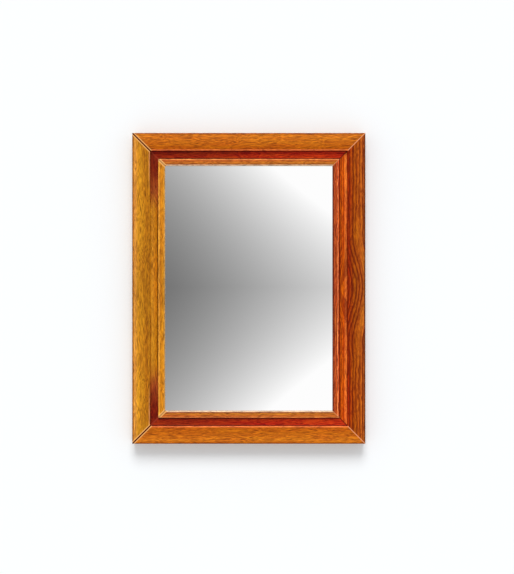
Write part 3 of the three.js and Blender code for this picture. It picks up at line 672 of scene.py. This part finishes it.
# The right stile: a flat-sawn board, drawn redder and darker, with late wood in dark lines.
russet = timber("russet_hardwood", "z", half_width, half_height, [
    # the side, its edge drawn dark as painted shade, and the band, redder and darker towards the
    # channel as painted shade
    (0, "98481a"), (0.5, "5c2c12"), (1.2, "300f04"),
    (3.3, "ad5516"), (14, "9e470a"), (22, "984301"), (34, "952201"),
    # the channel, orange, with a painted highlight along its outer side and painted shade in its
    # inner corner
    (36.7, "d66a2a"), (41, "c14701"), (46.5, "c85701"), (49.8, "630501"),
    # the slip: a pale stripe, a dark one, the face, and the dark sight edge
    (51, "be3b09"), (53.3, "f2874c"), (55.5, "a53301"), (57.7, "bc5522"),
    (60, "ab461e"), (62, "622518"), (63, "5f2614"),
], figure=cathedral)

SIDES = (
    ("top", "frame_top_rail", OUTER_WIDTH, OUTER_HEIGHT, amber, "amber_wood"),
    ("right", "frame_right_stile", OUTER_HEIGHT, OUTER_WIDTH, russet, "russet_wood"),
    ("bottom", "frame_bottom_rail", OUTER_WIDTH, OUTER_HEIGHT, amber, "amber_wood"),
    ("left", "frame_left_stile", OUTER_HEIGHT, OUTER_WIDTH, golden, "golden_wood"),
)
V_NAILS = ["v_nail_" + corner + "_" + place
           for corner in ("top_left", "top_right", "bottom_left", "bottom_right")
           for place in ("outer", "inner")]
for turn, (side, node, length, across, wood, slot) in enumerate(SIDES):
    bm = mitred_length(MOULDING, MOULDING_EASED, length)
    into_place(bm, turn, across)
    moulding = finished("moulding_" + side, bm, wood, [node])
    slots = bmesh.new()
    for nail in V_NAILS:
        low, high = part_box(nail)
        way = Vector((math.copysign(1, low.x), 0, math.copysign(1, low.z)))
        near = Vector((low.x if way.x > 0 else high.x, low.y - NAIL_CLEARANCE * MM,
                       low.z if way.z > 0 else high.z))
        legs = high - low
        room, thick = NAIL_CLEARANCE * MM, (NAIL_STEEL + NAIL_CLEARANCE) * MM
        ell = ((-room, -room), (legs.x + room, -room), (legs.x + room, thick), (thick, thick),
               (thick, legs.z + room), (-room, legs.z + room))
        outline = [slots.verts.new(near + Vector((a * way.x, 0, b * way.z))) for a, b in ell]
        grow(slots, [slots.faces.new(outline)], (0, BACK_OF_FRAME - near.y + OVERCUT * MM, 0))
    face_outwards(slots)
    carve(moulding, slots)
    rounded(moulding, 20)


# ---- The inner slips ----------------------------------------------------------------------------
# A slimmer moulding glued on the ledge inside the channel, mitred by itself. It stands a little
# lower than the outer band, laps over the glass and hides its edge.
SLIP_BACK, SLIP_FACE, SLIP_CROWN = FLOOR + 0.3, 29.0, 0.5
SLIP_MIDDLE = (CHANNEL_END + SIGHT_EDGE) / 2
SLIP = [(CHANNEL_END, SLIP_BACK), (SIGHT_EDGE, SLIP_BACK), (SIGHT_EDGE, SLIP_FACE - SLIP_CROWN),
        (SLIP_MIDDLE, SLIP_FACE), (CHANNEL_END, SLIP_FACE - SLIP_CROWN)]
SLIP_EASED = {(SLIP_MIDDLE, SLIP_FACE): (4.5, 8), (SIGHT_EDGE, SLIP_FACE - SLIP_CROWN): (1.1, 5),
              (CHANNEL_END, SLIP_FACE - SLIP_CROWN): (1.1, 5)}

for turn, (side, node, length, across, wood, slot) in enumerate(SIDES):
    bm = mitred_length(SLIP, SLIP_EASED, length)
    into_place(bm, turn, across)
    rounded(finished("slip_" + side, bm, wood, ["inner_slip_" + side]), 20)


# ---- The V-nails --------------------------------------------------------------------------------
# Two in each mitre, driven in from behind. Each is a strip of hard blue-black steel, folded to a
# right angle, which draws the joint together. Their shapes are the CAD's own.
SCALE_MARK = 2.38


def dress(material, *names):
    """Gives CAD nodes that keep their own shape a better material."""
    for name in names:
        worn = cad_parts[name].data.materials
        worn.clear()
        worn.append(material)


# Spring steel, blued by heat. It is near black with lighter rubbed marks, drawn coarser than real.
blued, tree = new_material("blued_strip_steel")
place = add(tree, "ShaderNodeTexCoord", out="Object")
scale_marks = add(tree, "ShaderNodeTexNoise", {"Vector": place, "Scale": 1 / (SCALE_MARK * MM),
                                               "Detail": 4, "Roughness": 0.7})
colour = add(tree, "ShaderNodeValToRGB", {0: scale_marks})
colour.node.color_ramp.elements[0].position = 0.35
colour.node.color_ramp.elements[0].color = linear("24272d")
colour.node.color_ramp.elements[1].position = 0.7
colour.node.color_ramp.elements[1].color = linear("565a62")
rough = add(tree, "ShaderNodeMapRange", {"Value": scale_marks, "To Min": 0.35, "To Max": 0.6})
bump = add(tree, "ShaderNodeBump", {"Height": scale_marks, "Strength": 0.3, "Distance": 0.05 * MM})
surface = add(tree, "ShaderNodeBsdfPrincipled",
              {"Base Color": colour, "Metallic": 0.85, "Roughness": rough, "Normal": bump})
add(tree, "ShaderNodeOutputMaterial", {"Surface": surface})

dress(blued, *V_NAILS)


# ---- The mirror glass ---------------------------------------------------------------------------
# Float glass, silvered and then painted grey behind. The front is a true mirror with a trace of
# haze, and the ground edge shows the glass's green.
HAZE_PATCH, BRUSH_MARK = 71.4, 16.7

# It gives a clear bright reflection, which wiped-on haze dulls a little in patches. The edge is a
# matt green, and the brushed grey paint behind is streaky.
silvered, tree = new_material("silvered_float_glass")
place = add(tree, "ShaderNodeTexCoord", out="Object")
haze = add(tree, "ShaderNodeTexNoise", {"Vector": place, "Scale": 1 / (HAZE_PATCH * MM),
                                        "Detail": 3})
haze = add(tree, "ShaderNodeMapRange",
           {"Value": haze, "From Min": 0.4, "From Max": 0.8, "To Max": 0.012})
mirror = add(tree, "ShaderNodeBsdfPrincipled",
             {"Base Color": linear("fdfdfd"), "Metallic": 1, "Roughness": haze})
edge = add(tree, "ShaderNodeBsdfPrincipled", {"Base Color": linear("8fb3a4"), "Roughness": 0.25})
brushed = add(tree, "ShaderNodeTexNoise", {"Vector": place, "Scale": 1 / (BRUSH_MARK * MM),
                                           "Detail": 4})
streaks = add(tree, "ShaderNodeMapRange", {"Value": brushed, "To Min": 0.85, "To Max": 1.12})
brushed = add(tree, "ShaderNodeHueSaturation", {"Color": linear("6b6f73"), "Value": streaks})
backing_paint = add(tree, "ShaderNodeBsdfPrincipled", {"Base Color": brushed, "Roughness": 0.6})
facing = add(tree, "ShaderNodeSeparateXYZ", {0: add(tree, "ShaderNodeTexCoord", out="Normal")},
             out="Y")
front = add(tree, "ShaderNodeMath", {0: facing, 1: -0.99}, operation="LESS_THAN")
behind = add(tree, "ShaderNodeMath", {0: facing, 1: 0.99}, operation="GREATER_THAN")
surface = add(tree, "ShaderNodeMixShader", {0: front, 1: edge, 2: mirror})
surface = add(tree, "ShaderNodeMixShader", {0: behind, 1: surface, 2: backing_paint})
add(tree, "ShaderNodeOutputMaterial", {"Surface": surface})
dress(silvered, "mirror_glass")


# ---- The setting blocks and the backing card ----------------------------------------------------
# Four blocks of soft black rubber keep the glass off the rebate, two below and one at each side. A
# grey card of pulped paper lies between the silvering's paint and the back panel. Both are the
# CAD's own shapes, and the back panel hides them.
BLOOM, PULP = 3.85, 1.92

# Moulded rubber: a dull near-black, with a greyish bloom in specks.
neoprene, tree = new_material("neoprene_rubber")
place = add(tree, "ShaderNodeTexCoord", out="Object")
bloom = add(tree, "ShaderNodeTexNoise", {"Vector": place, "Scale": 1 / (BLOOM * MM), "Detail": 5,
                                         "Roughness": 0.65})
tone = add(tree, "ShaderNodeMapRange",
           {"Value": bloom, "From Min": 0.3, "From Max": 0.75, "To Min": 0.75, "To Max": 1.7})
colour = add(tree, "ShaderNodeHueSaturation", {"Color": linear("2a2a2b"), "Value": tone})
rough = add(tree, "ShaderNodeMapRange", {"Value": bloom, "To Min": 0.7, "To Max": 0.95})
bump = add(tree, "ShaderNodeBump", {"Height": bloom, "Strength": 0.35, "Distance": 0.08 * MM})
surface = add(tree, "ShaderNodeBsdfPrincipled",
              {"Base Color": colour, "Roughness": rough, "Normal": bump, "Specular IOR Level": 0.3})
add(tree, "ShaderNodeOutputMaterial", {"Surface": surface})

# Pulped waste paper, rolled to a card: a warm matt grey, flecked with light and dark fibre.
greyboard, tree = new_material("greyboard")
place = add(tree, "ShaderNodeTexCoord", out="Object")
pulp = add(tree, "ShaderNodeTexNoise", {"Vector": place, "Scale": 1 / (PULP * MM), "Detail": 5,
                                        "Roughness": 0.75})
tone = add(tree, "ShaderNodeMapRange",
           {"Value": pulp, "From Min": 0.3, "From Max": 0.7, "To Min": 0.8, "To Max": 1.15})
colour = add(tree, "ShaderNodeHueSaturation", {"Color": linear("8d8980"), "Value": tone})
bump = add(tree, "ShaderNodeBump", {"Height": pulp, "Strength": 0.3, "Distance": 0.1 * MM})
surface = add(tree, "ShaderNodeBsdfPrincipled",
              {"Base Color": colour, "Roughness": 0.92, "Normal": bump})
add(tree, "ShaderNodeOutputMaterial", {"Surface": surface})

dress(neoprene, "setting_block_bottom_left", "setting_block_bottom_right",
      "setting_block_left", "setting_block_right")
dress(greyboard, "backing_card")


# ---- The back panel -----------------------------------------------------------------------------
# A sheet of hardboard, sawn to fit the rebate, with its arrises rubbed down. Behind it shows the
# rough side, which carries the print of the wire screen that it was pressed on.
PANEL_ARRIS = 0.35
CLOUD, FLAKE, FLECK = 55.6, 1.82, 3.33
SCREEN_PITCH = 3.2

# Wet-pressed wood fibre: a flat mid brown, clouded, with pale flakes and a few dark flecks.
hardboard, tree = new_material("hardboard")
place = add(tree, "ShaderNodeTexCoord", out="Object")
mm = add(tree, "ShaderNodeVectorMath", {0: place, "Scale": 1 / MM}, operation="SCALE")
cloud = add(tree, "ShaderNodeTexNoise", {"Vector": mm, "Scale": 1 / CLOUD, "Detail": 4})
flakes = add(tree, "ShaderNodeTexNoise", {"Vector": mm, "Scale": 1 / FLAKE, "Detail": 5,
                                          "Roughness": 0.7})
dark_flecks = add(tree, "ShaderNodeTexVoronoi", {"Vector": mm, "Scale": 1 / FLECK}, out="Distance")
dark_flecks = add(tree, "ShaderNodeMapRange",
                  {"Value": dark_flecks, "From Min": 0.06, "From Max": 0.16})
# The screen's real pitch is about 1.3 mm. It is drawn 3.2 mm apart so that it shows.
axes = add(tree, "ShaderNodeSeparateXYZ", {0: mm}).node.outputs
turns = 2 * math.pi / SCREEN_PITCH
weft, warp = [add(tree, "ShaderNodeMath", {0: axes[axis], 1: turns}, operation="MULTIPLY")
              for axis in "XZ"]
weft, warp = [add(tree, "ShaderNodeMath", {0: thread}, operation="SINE")
              for thread in (weft, warp)]
screen = add(tree, "ShaderNodeMath", {0: weft, 1: warp}, operation="MULTIPLY")
value = add(tree, "ShaderNodeMapRange",
            {"Value": cloud, "From Min": 0.3, "From Max": 0.7, "To Min": 0.86, "To Max": 1.08})
for marks, tone in ((flakes, 0.42), (screen, 0.05), (dark_flecks, 0.22)):
    value = add(tree, "ShaderNodeMath", {0: marks, 1: tone, 2: value}, operation="MULTIPLY_ADD")
value = add(tree, "ShaderNodeMath", {0: value, 1: 0.38}, operation="SUBTRACT")
colour = add(tree, "ShaderNodeHueSaturation", {"Color": linear("8f6239"), "Value": value})
relief = add(tree, "ShaderNodeMath", {0: screen, 1: 0.5, 2: flakes}, operation="MULTIPLY_ADD")
bump = add(tree, "ShaderNodeBump", {"Height": relief, "Strength": 0.35, "Distance": 0.2 * MM})
surface = add(tree, "ShaderNodeBsdfPrincipled",
              {"Base Color": colour, "Roughness": 0.85, "Normal": bump, "Specular IOR Level": 0.25})
add(tree, "ShaderNodeOutputMaterial", {"Surface": surface})

low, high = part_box("back_panel")
bm = bmesh.new()
bmesh.ops.create_grid(bm, x_segments=1, y_segments=1, size=0.5)
bmesh.ops.scale(bm, verts=bm.verts, vec=(high.x - low.x, high.z - low.z, 1))
bmesh.ops.rotate(bm, verts=bm.verts, matrix=Matrix.Rotation(math.pi / 2, 3, "X"))
grow(bm, bm.faces[:], (0, high.y - low.y, 0))
bmesh.ops.translate(bm, verts=bm.verts, vec=((low.x + high.x) / 2, low.y, (low.z + high.z) / 2))
ease(bm, bm.edges[:], PANEL_ARRIS, 2)
face_outwards(bm)
finished("hardboard_panel", bm, hardboard, ["back_panel"])


# ---- The turn buttons ---------------------------------------------------------------------------
# Eight blanked steel tongues with tumbled edges, two on each side. Each turns on its screw to hold
# the back panel or to let it go. Zinc plating gives them a pale blue-grey with a faint mottle.
BUTTON_PIVOT, BUTTON_TIP, BUTTON_REACH, BUTTON_HOLE = 5.5, 3.4, 14.0, 1.7
BUTTON_RIM, RIM_ANGLE = 0.3, 1.2
SPANGLE, STAIN_PATCH, SCRATCH = 3.03, 11.1, (1.43, 0.192)
BUTTONS = [("top_left", 0), ("top_right", 0), ("right_upper", 1), ("right_lower", 1),
           ("bottom_right", 2), ("bottom_left", 2), ("left_lower", 3), ("left_upper", 3)]

# Bright zinc over tumbled steel: a light bluish metal, mottled, yellowed in patches and finely
# scratched. The mottle is drawn about 3 mm across so that it shows.
zinc, tree = new_material("zinc_plated_steel")
place = add(tree, "ShaderNodeTexCoord", out="Object")
mottle = add(tree, "ShaderNodeTexNoise", {"Vector": place, "Scale": 1 / (SPANGLE * MM),
                                          "Detail": 4, "Roughness": 0.6})
stained = add(tree, "ShaderNodeTexNoise", {"Vector": place, "Scale": 1 / (STAIN_PATCH * MM),
                                           "Detail": 2})
stained = add(tree, "ShaderNodeMapRange",
              {"Value": stained, "From Min": 0.45, "From Max": 0.7, "To Max": 0.5})
scratch_scale = [1 / (SCRATCH[i] * MM) for i in (0, 0, 1)]
scratches = add(tree, "ShaderNodeVectorMath", {0: place, 1: scratch_scale}, operation="MULTIPLY")
scratches = add(tree, "ShaderNodeTexNoise", {"Vector": scratches, "Scale": 1, "Detail": 2})
tone = add(tree, "ShaderNodeMapRange",
           {"Value": mottle, "From Min": 0.3, "From Max": 0.7, "To Min": 0.84, "To Max": 1.1})
colour = add(tree, "ShaderNodeHueSaturation", {"Color": linear("b9bfc4"), "Value": tone})
colour = add(tree, "ShaderNodeMix", {"Factor": stained, "A": colour, "B": linear("a9a68f")},
             out="Result", data_type="RGBA")
rough = add(tree, "ShaderNodeMapRange", {"Value": mottle, "To Min": 0.24, "To Max": 0.46})
bump = add(tree, "ShaderNodeBump", {"Height": scratches, "Strength": 0.12, "Distance": 0.03 * MM})
surface = add(tree, "ShaderNodeBsdfPrincipled",
              {"Base Color": colour, "Metallic": 1, "Roughness": rough, "Normal": bump})
add(tree, "ShaderNodeOutputMaterial", {"Surface": surface})

shoulder = math.asin((BUTTON_PIVOT - BUTTON_TIP) / BUTTON_REACH)
for place_name, turn in BUTTONS:
    low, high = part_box("turn_button_" + place_name)
    pivot = sum(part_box("button_screw_" + place_name), Vector()) / 2
    bm = bmesh.new()
    ends = []
    for centre, radius, start, sweep in ((0, BUTTON_PIVOT, -shoulder, math.pi + 2 * shoulder),
                                         (-BUTTON_REACH, BUTTON_TIP, math.pi + shoulder,
                                          math.pi - 2 * shoulder)):
        first = bm.verts.new((radius * MM * math.cos(start), 0,
                              (centre + radius * math.sin(start)) * MM))
        arc = bmesh.ops.spin(bm, geom=[first], cent=(0, 0, centre * MM), axis=(0, -1, 0),
                             angle=sweep, steps=28)
        ends += [first] + points_of(arc["geom_last"])
    bm.edges.new((ends[1], ends[2]))
    bm.edges.new((ends[3], ends[0]))
    bmesh.ops.create_circle(bm, segments=32, radius=BUTTON_HOLE * MM,
                            matrix=Matrix.Rotation(math.pi / 2, 4, "X"))
    bmesh.ops.triangle_fill(bm, edges=bm.edges[:], use_beauty=True, use_dissolve=True)
    grow(bm, bm.faces[:], (0, high.y - low.y, 0))
    face_outwards(bm)
    rims = [e for e in bm.edges if len(e.link_faces) == 2 and e.calc_face_angle() > RIM_ANGLE]
    ease(bm, rims, BUTTON_RIM, 3)
    bmesh.ops.rotate(bm, verts=bm.verts, matrix=Matrix.Rotation(turn * math.pi / 2, 3, "Y"))
    bmesh.ops.translate(bm, verts=bm.verts, vec=(pivot.x, low.y, pivot.z))
    face_outwards(bm)
    rounded(finished("button_" + place_name, bm, zinc, ["turn_button_" + place_name],
                     body="button_" + place_name))


# ---- The screws ---------------------------------------------------------------------------------
# Pan-head wood screws with a cross recess: one through each turn button and two through each hanger
# strap. Their threads are hidden in the timber, and only the plain core is made.
SCREWS = [("button_screw_" + place_name, 1.4, 8.0, 3.1) for place_name, turn in BUTTONS]
SCREWS += [("hanger_screw_" + place_name, 1.7, 9.0, 3.5)
           for place_name in ("left_upper", "left_lower", "right_upper", "right_lower")]
RECESS_ARM, RECESS_WIDTH, RECESS_DEPTH, RECESS_TAPER = 0.56, 0.3, 0.62, 0.55
RECESS_LEAD = 0.3
HEAD_SIDE, HEAD_EASE = 0.42, 0.15
SCREW_POINT, POINT_TIP = 2.5, 0.3
DRIVEN_TURN = 37


def turned(outline, steps):
    """A bmesh turned on a lathe about y, from pairs of radius and height in mm."""
    bm = bmesh.new()
    points = [bm.verts.new((r * MM, v * MM, 0)) for r, v in outline]
    edges = [bm.edges.new(pair) for pair in zip(points, points[1:])]
    bmesh.ops.spin(bm, geom=points + edges, cent=(0, 0, 0), axis=(0, 1, 0), angle=2 * math.pi,
                   steps=steps, use_merge=True)
    return bm


for i, (node, core, length, head) in enumerate(SCREWS):
    low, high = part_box(node)
    rise = (high.y - low.y) / MM - length
    outline = [(0, -length), (0.25 * core, -length + POINT_TIP), (core, -length + SCREW_POINT),
               (core, 0), (head - HEAD_EASE, 0), (head, HEAD_EASE), (head, HEAD_SIDE * rise)]
    outline += [(head * math.cos(a), rise * (HEAD_SIDE + (1 - HEAD_SIDE) * math.sin(a)))
                for a in (math.radians(d) for d in range(12, 84, 12))]
    bm = turned(outline + [(0, rise)], 32)
    seat = Vector(((low.x + high.x) / 2, high.y - rise * MM, (low.z + high.z) / 2))
    bmesh.ops.translate(bm, verts=bm.verts, vec=seat)
    face_outwards(bm)
    screw = finished(node.replace("screw", "pan_screw"), bm, zinc, [node])

    bm = bmesh.new()
    arm, half = RECESS_ARM * head * MM, RECESS_WIDTH * MM
    quarter = ((half, half), (half, arm), (-half, arm))
    cross = [(a * c - b * d, a * d + b * c) for c, d in ((1, 0), (0, 1), (-1, 0), (0, -1))
             for a, b in quarter]
    mouth = bm.faces.new([bm.verts.new((a, 0, b)) for a, b in cross])
    foot = grow(bm, [mouth], (0, -(RECESS_DEPTH * rise + RECESS_LEAD) * MM, 0))
    bmesh.ops.scale(bm, verts=foot, vec=(RECESS_TAPER, 1, RECESS_TAPER))
    driven = Matrix.Rotation(math.radians(DRIVEN_TURN * i % 90), 3, "Y")
    bmesh.ops.rotate(bm, verts=bm.verts, matrix=driven)
    bmesh.ops.translate(bm, verts=bm.verts, vec=seat + Vector((0, (rise + RECESS_LEAD) * MM, 0)))
    face_outwards(bm)
    carve(screw, bm)
    rounded(screw, 40)


# ---- The hanger straps --------------------------------------------------------------------------
# Each is one strip of plated steel, folded over the ring and doubled below it, with a round end and
# two screw holes. It is drawn a little thinner than the CAD's, so that its two layers part.
STRAP_STEEL, STRAP_DRAWN = 0.9, 0.84
STRAP_WIDTH, STRAP_LENGTH = 14.0, 42.0
STRAP_HOLES, STRAP_HOLE = (20.0, 34.0), 2.0
EYE_OUTSIDE = 2.5
EYE = EYE_OUTSIDE - STRAP_STEEL / 2
FRONT_LAYER = STRAP_STEEL * 1.5 - EYE_OUTSIDE
FOLD_ANGLE, NECK_DROP, NECK_BEND = math.radians(238), 1.1, 0.7
CUTTER_TOP, CUTTER_REACH, SPARE = 4, 6, 0.01

for side in ("left", "right"):
    low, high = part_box("hanger_strap_" + side)
    eye = Vector(((low.x + high.x) / 2, high.y - EYE_OUTSIDE * MM,
                  high.z - (EYE_OUTSIDE - SPARE) * MM))
    bm = bmesh.new()
    back = bm.verts.new((0, -EYE * MM, 0))
    fold = bmesh.ops.spin(bm, geom=[back], cent=(0, 0, 0), axis=(-1, 0, 0), angle=FOLD_ANGLE,
                          steps=30)
    front = points_of(fold["geom_last"])[0]
    neck = bm.verts.new((0, FRONT_LAYER * MM, -(EYE + NECK_DROP) * MM))
    foot_back = bm.verts.new((0, -EYE * MM, -STRAP_LENGTH * MM))
    foot_front = bm.verts.new((0, FRONT_LAYER * MM, -STRAP_LENGTH * MM))
    for pair in ((foot_back, back), (front, neck), (neck, foot_front)):
        bm.edges.new(pair)
    bmesh.ops.bevel(bm, geom=[neck], offset=NECK_BEND * MM, offset_type="OFFSET",
                    affect="VERTICES", segments=5, profile=0.5, material=-1)
    sheet = bmesh.ops.extrude_edge_only(bm, edges=bm.edges[:])["geom"]
    bmesh.ops.translate(bm, verts=points_of(sheet), vec=(STRAP_WIDTH * MM, 0, 0))
    bmesh.ops.translate(bm, verts=bm.verts, vec=eye - Vector((STRAP_WIDTH / 2 * MM, 0, 0)))
    bmesh.ops.recalc_face_normals(bm, faces=bm.faces)
    strap = finished("strap_" + side, bm, zinc, ["hanger_strap_" + side])
    thick = strap.modifiers.new("steel", "SOLIDIFY")
    thick.thickness = STRAP_DRAWN * MM
    thick.offset = 0
    thick.use_even_offset = True
    settle(strap)

    # What lies outside the outline is cut off, and the two holes are drilled through both layers.
    half = STRAP_WIDTH / 2 + SPARE
    end_centre = STRAP_WIDTH / 2 - STRAP_LENGTH
    bm = bmesh.new()
    top = [bm.verts.new((x * MM, 0, CUTTER_TOP * MM)) for x in (half, -half)]
    corner = bm.verts.new((-half * MM, 0, end_centre * MM))
    arc = bmesh.ops.spin(bm, geom=[corner], cent=(0, 0, end_centre * MM), axis=(0, -1, 0),
                         angle=math.pi, steps=28)
    for pair in (top, (top[1], corner), (points_of(arc["geom_last"])[0], top[0])):
        bm.edges.new(pair)
    outline = bmesh.ops.edgeloop_fill(bm, edges=bm.edges[:])["faces"]
    grow(bm, outline, (0, 2 * CUTTER_REACH * MM, 0))
    bmesh.ops.translate(bm, verts=bm.verts, vec=eye - Vector((0, CUTTER_REACH * MM, 0)))
    face_outwards(bm)
    carve(strap, bm, "INTERSECT")
    bm = bmesh.new()
    for drop in STRAP_HOLES:
        drill = (Matrix.Translation(eye - Vector((0, 0, drop * MM)))
                 @ Matrix.Rotation(math.pi / 2, 4, "X"))
        bmesh.ops.create_cone(bm, cap_ends=True, segments=28, radius1=STRAP_HOLE * MM,
                              radius2=STRAP_HOLE * MM, depth=2 * CUTTER_REACH * MM, matrix=drill)
    face_outwards(bm)
    carve(strap, bm)
    rounded(strap, 35)


# ---- The D-rings --------------------------------------------------------------------------------
# Plated wire, bent to a D, whose two ends butt inside the strap's eye. They hang down and lean a
# little towards the wall.
WIRE, RING_HALF, RING_DROP, RING_CORNER, RING_BUTT = 1.3, 9.5, 13.5, 2.5, 0.2
RING_STEPS = 20

for side in ("left", "right"):
    low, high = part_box("hanger_ring_" + side)
    axis = Vector(((low.x + high.x) / 2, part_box("hanger_strap_" + side)[1].y - EYE_OUTSIDE * MM,
                   high.z - WIRE * MM))
    lean = math.asin((high.y - WIRE * MM - axis.y) / (RING_DROP * MM))
    bm = bmesh.new()
    bmesh.ops.create_circle(bm, segments=RING_STEPS, radius=WIRE * MM,
                            matrix=Matrix.Rotation(math.pi / 2, 4, "Y"))
    bmesh.ops.translate(bm, verts=bm.verts, vec=(RING_BUTT * MM, 0, 0))
    ring_end = bm.edges[:]
    inner = RING_HALF - RING_CORNER
    bow = RING_DROP - RING_HALF
    for run, about, angle, steps in (
        ((inner - RING_BUTT, 0), (inner, -RING_CORNER), 90, 8),
        ((0, RING_CORNER - bow), (0, -bow), 180, 32),
        ((0, bow - RING_CORNER), (-inner, -RING_CORNER), 90, 8),
        ((inner - RING_BUTT, 0), None, 0, 0),
    ):
        pulled = bmesh.ops.extrude_edge_only(bm, edges=ring_end)["geom"]
        bmesh.ops.translate(bm, verts=points_of(pulled), vec=(run[0] * MM, 0, run[1] * MM))
        ring_end = [g for g in pulled if isinstance(g, bmesh.types.BMEdge)
                    and all(v in pulled for v in g.verts)]
        if about:
            bent = bmesh.ops.spin(bm, geom=ring_end, cent=(about[0] * MM, 0, about[1] * MM),
                                  axis=(0, 1, 0), angle=math.radians(angle),
                                  steps=steps)["geom_last"]
            ring_end = [g for g in bent if isinstance(g, bmesh.types.BMEdge)]
    bmesh.ops.holes_fill(bm, edges=bm.edges[:], sides=RING_STEPS)
    bmesh.ops.rotate(bm, verts=bm.verts, matrix=Matrix.Rotation(lean, 3, "X"))
    bmesh.ops.translate(bm, verts=bm.verts, vec=axis)
    face_outwards(bm)
    rounded(finished("ring_wire_" + side, bm, zinc, ["hanger_ring_" + side],
                     body="ring_" + side), 50)


# ---- The wall pads ------------------------------------------------------------------------------
# Four moulded rubber bumpers, stuck on the stiles' backs, that keep the mirror off the wall. Each
# tapers to a rounded face with a shallow dish.
PAD_RADIUS, PAD_TAPER, PAD_ROUND = 7.0, 0.5, 0.8
PAD_DISH, PAD_DISH_SIDE, PAD_DISH_DEPTH = 3.4, 0.7, 0.35

for place_name in ("upper_left", "upper_right", "lower_left", "lower_right"):
    low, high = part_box("wall_pad_" + place_name)
    thick = (high.y - low.y) / MM
    face = PAD_RADIUS - PAD_TAPER
    outline = [(0, 0), (PAD_RADIUS, 0), (face, thick - PAD_ROUND)]
    outline += [(face - PAD_ROUND * (1 - math.cos(a)), thick - PAD_ROUND * (1 - math.sin(a)))
                for a in (math.radians(d) for d in (20, 40, 60, 80))]
    outline += [(PAD_DISH, thick), (PAD_DISH - PAD_DISH_SIDE, thick - PAD_DISH_DEPTH),
                (0, thick - PAD_DISH_DEPTH)]
    bm = turned(outline, 40)
    bmesh.ops.translate(bm, verts=bm.verts, vec=((low.x + high.x) / 2, low.y, (low.z + high.z) / 2))
    face_outwards(bm)
    rounded(finished("pad_" + place_name, bm, neoprene, ["wall_pad_" + place_name]), 35)
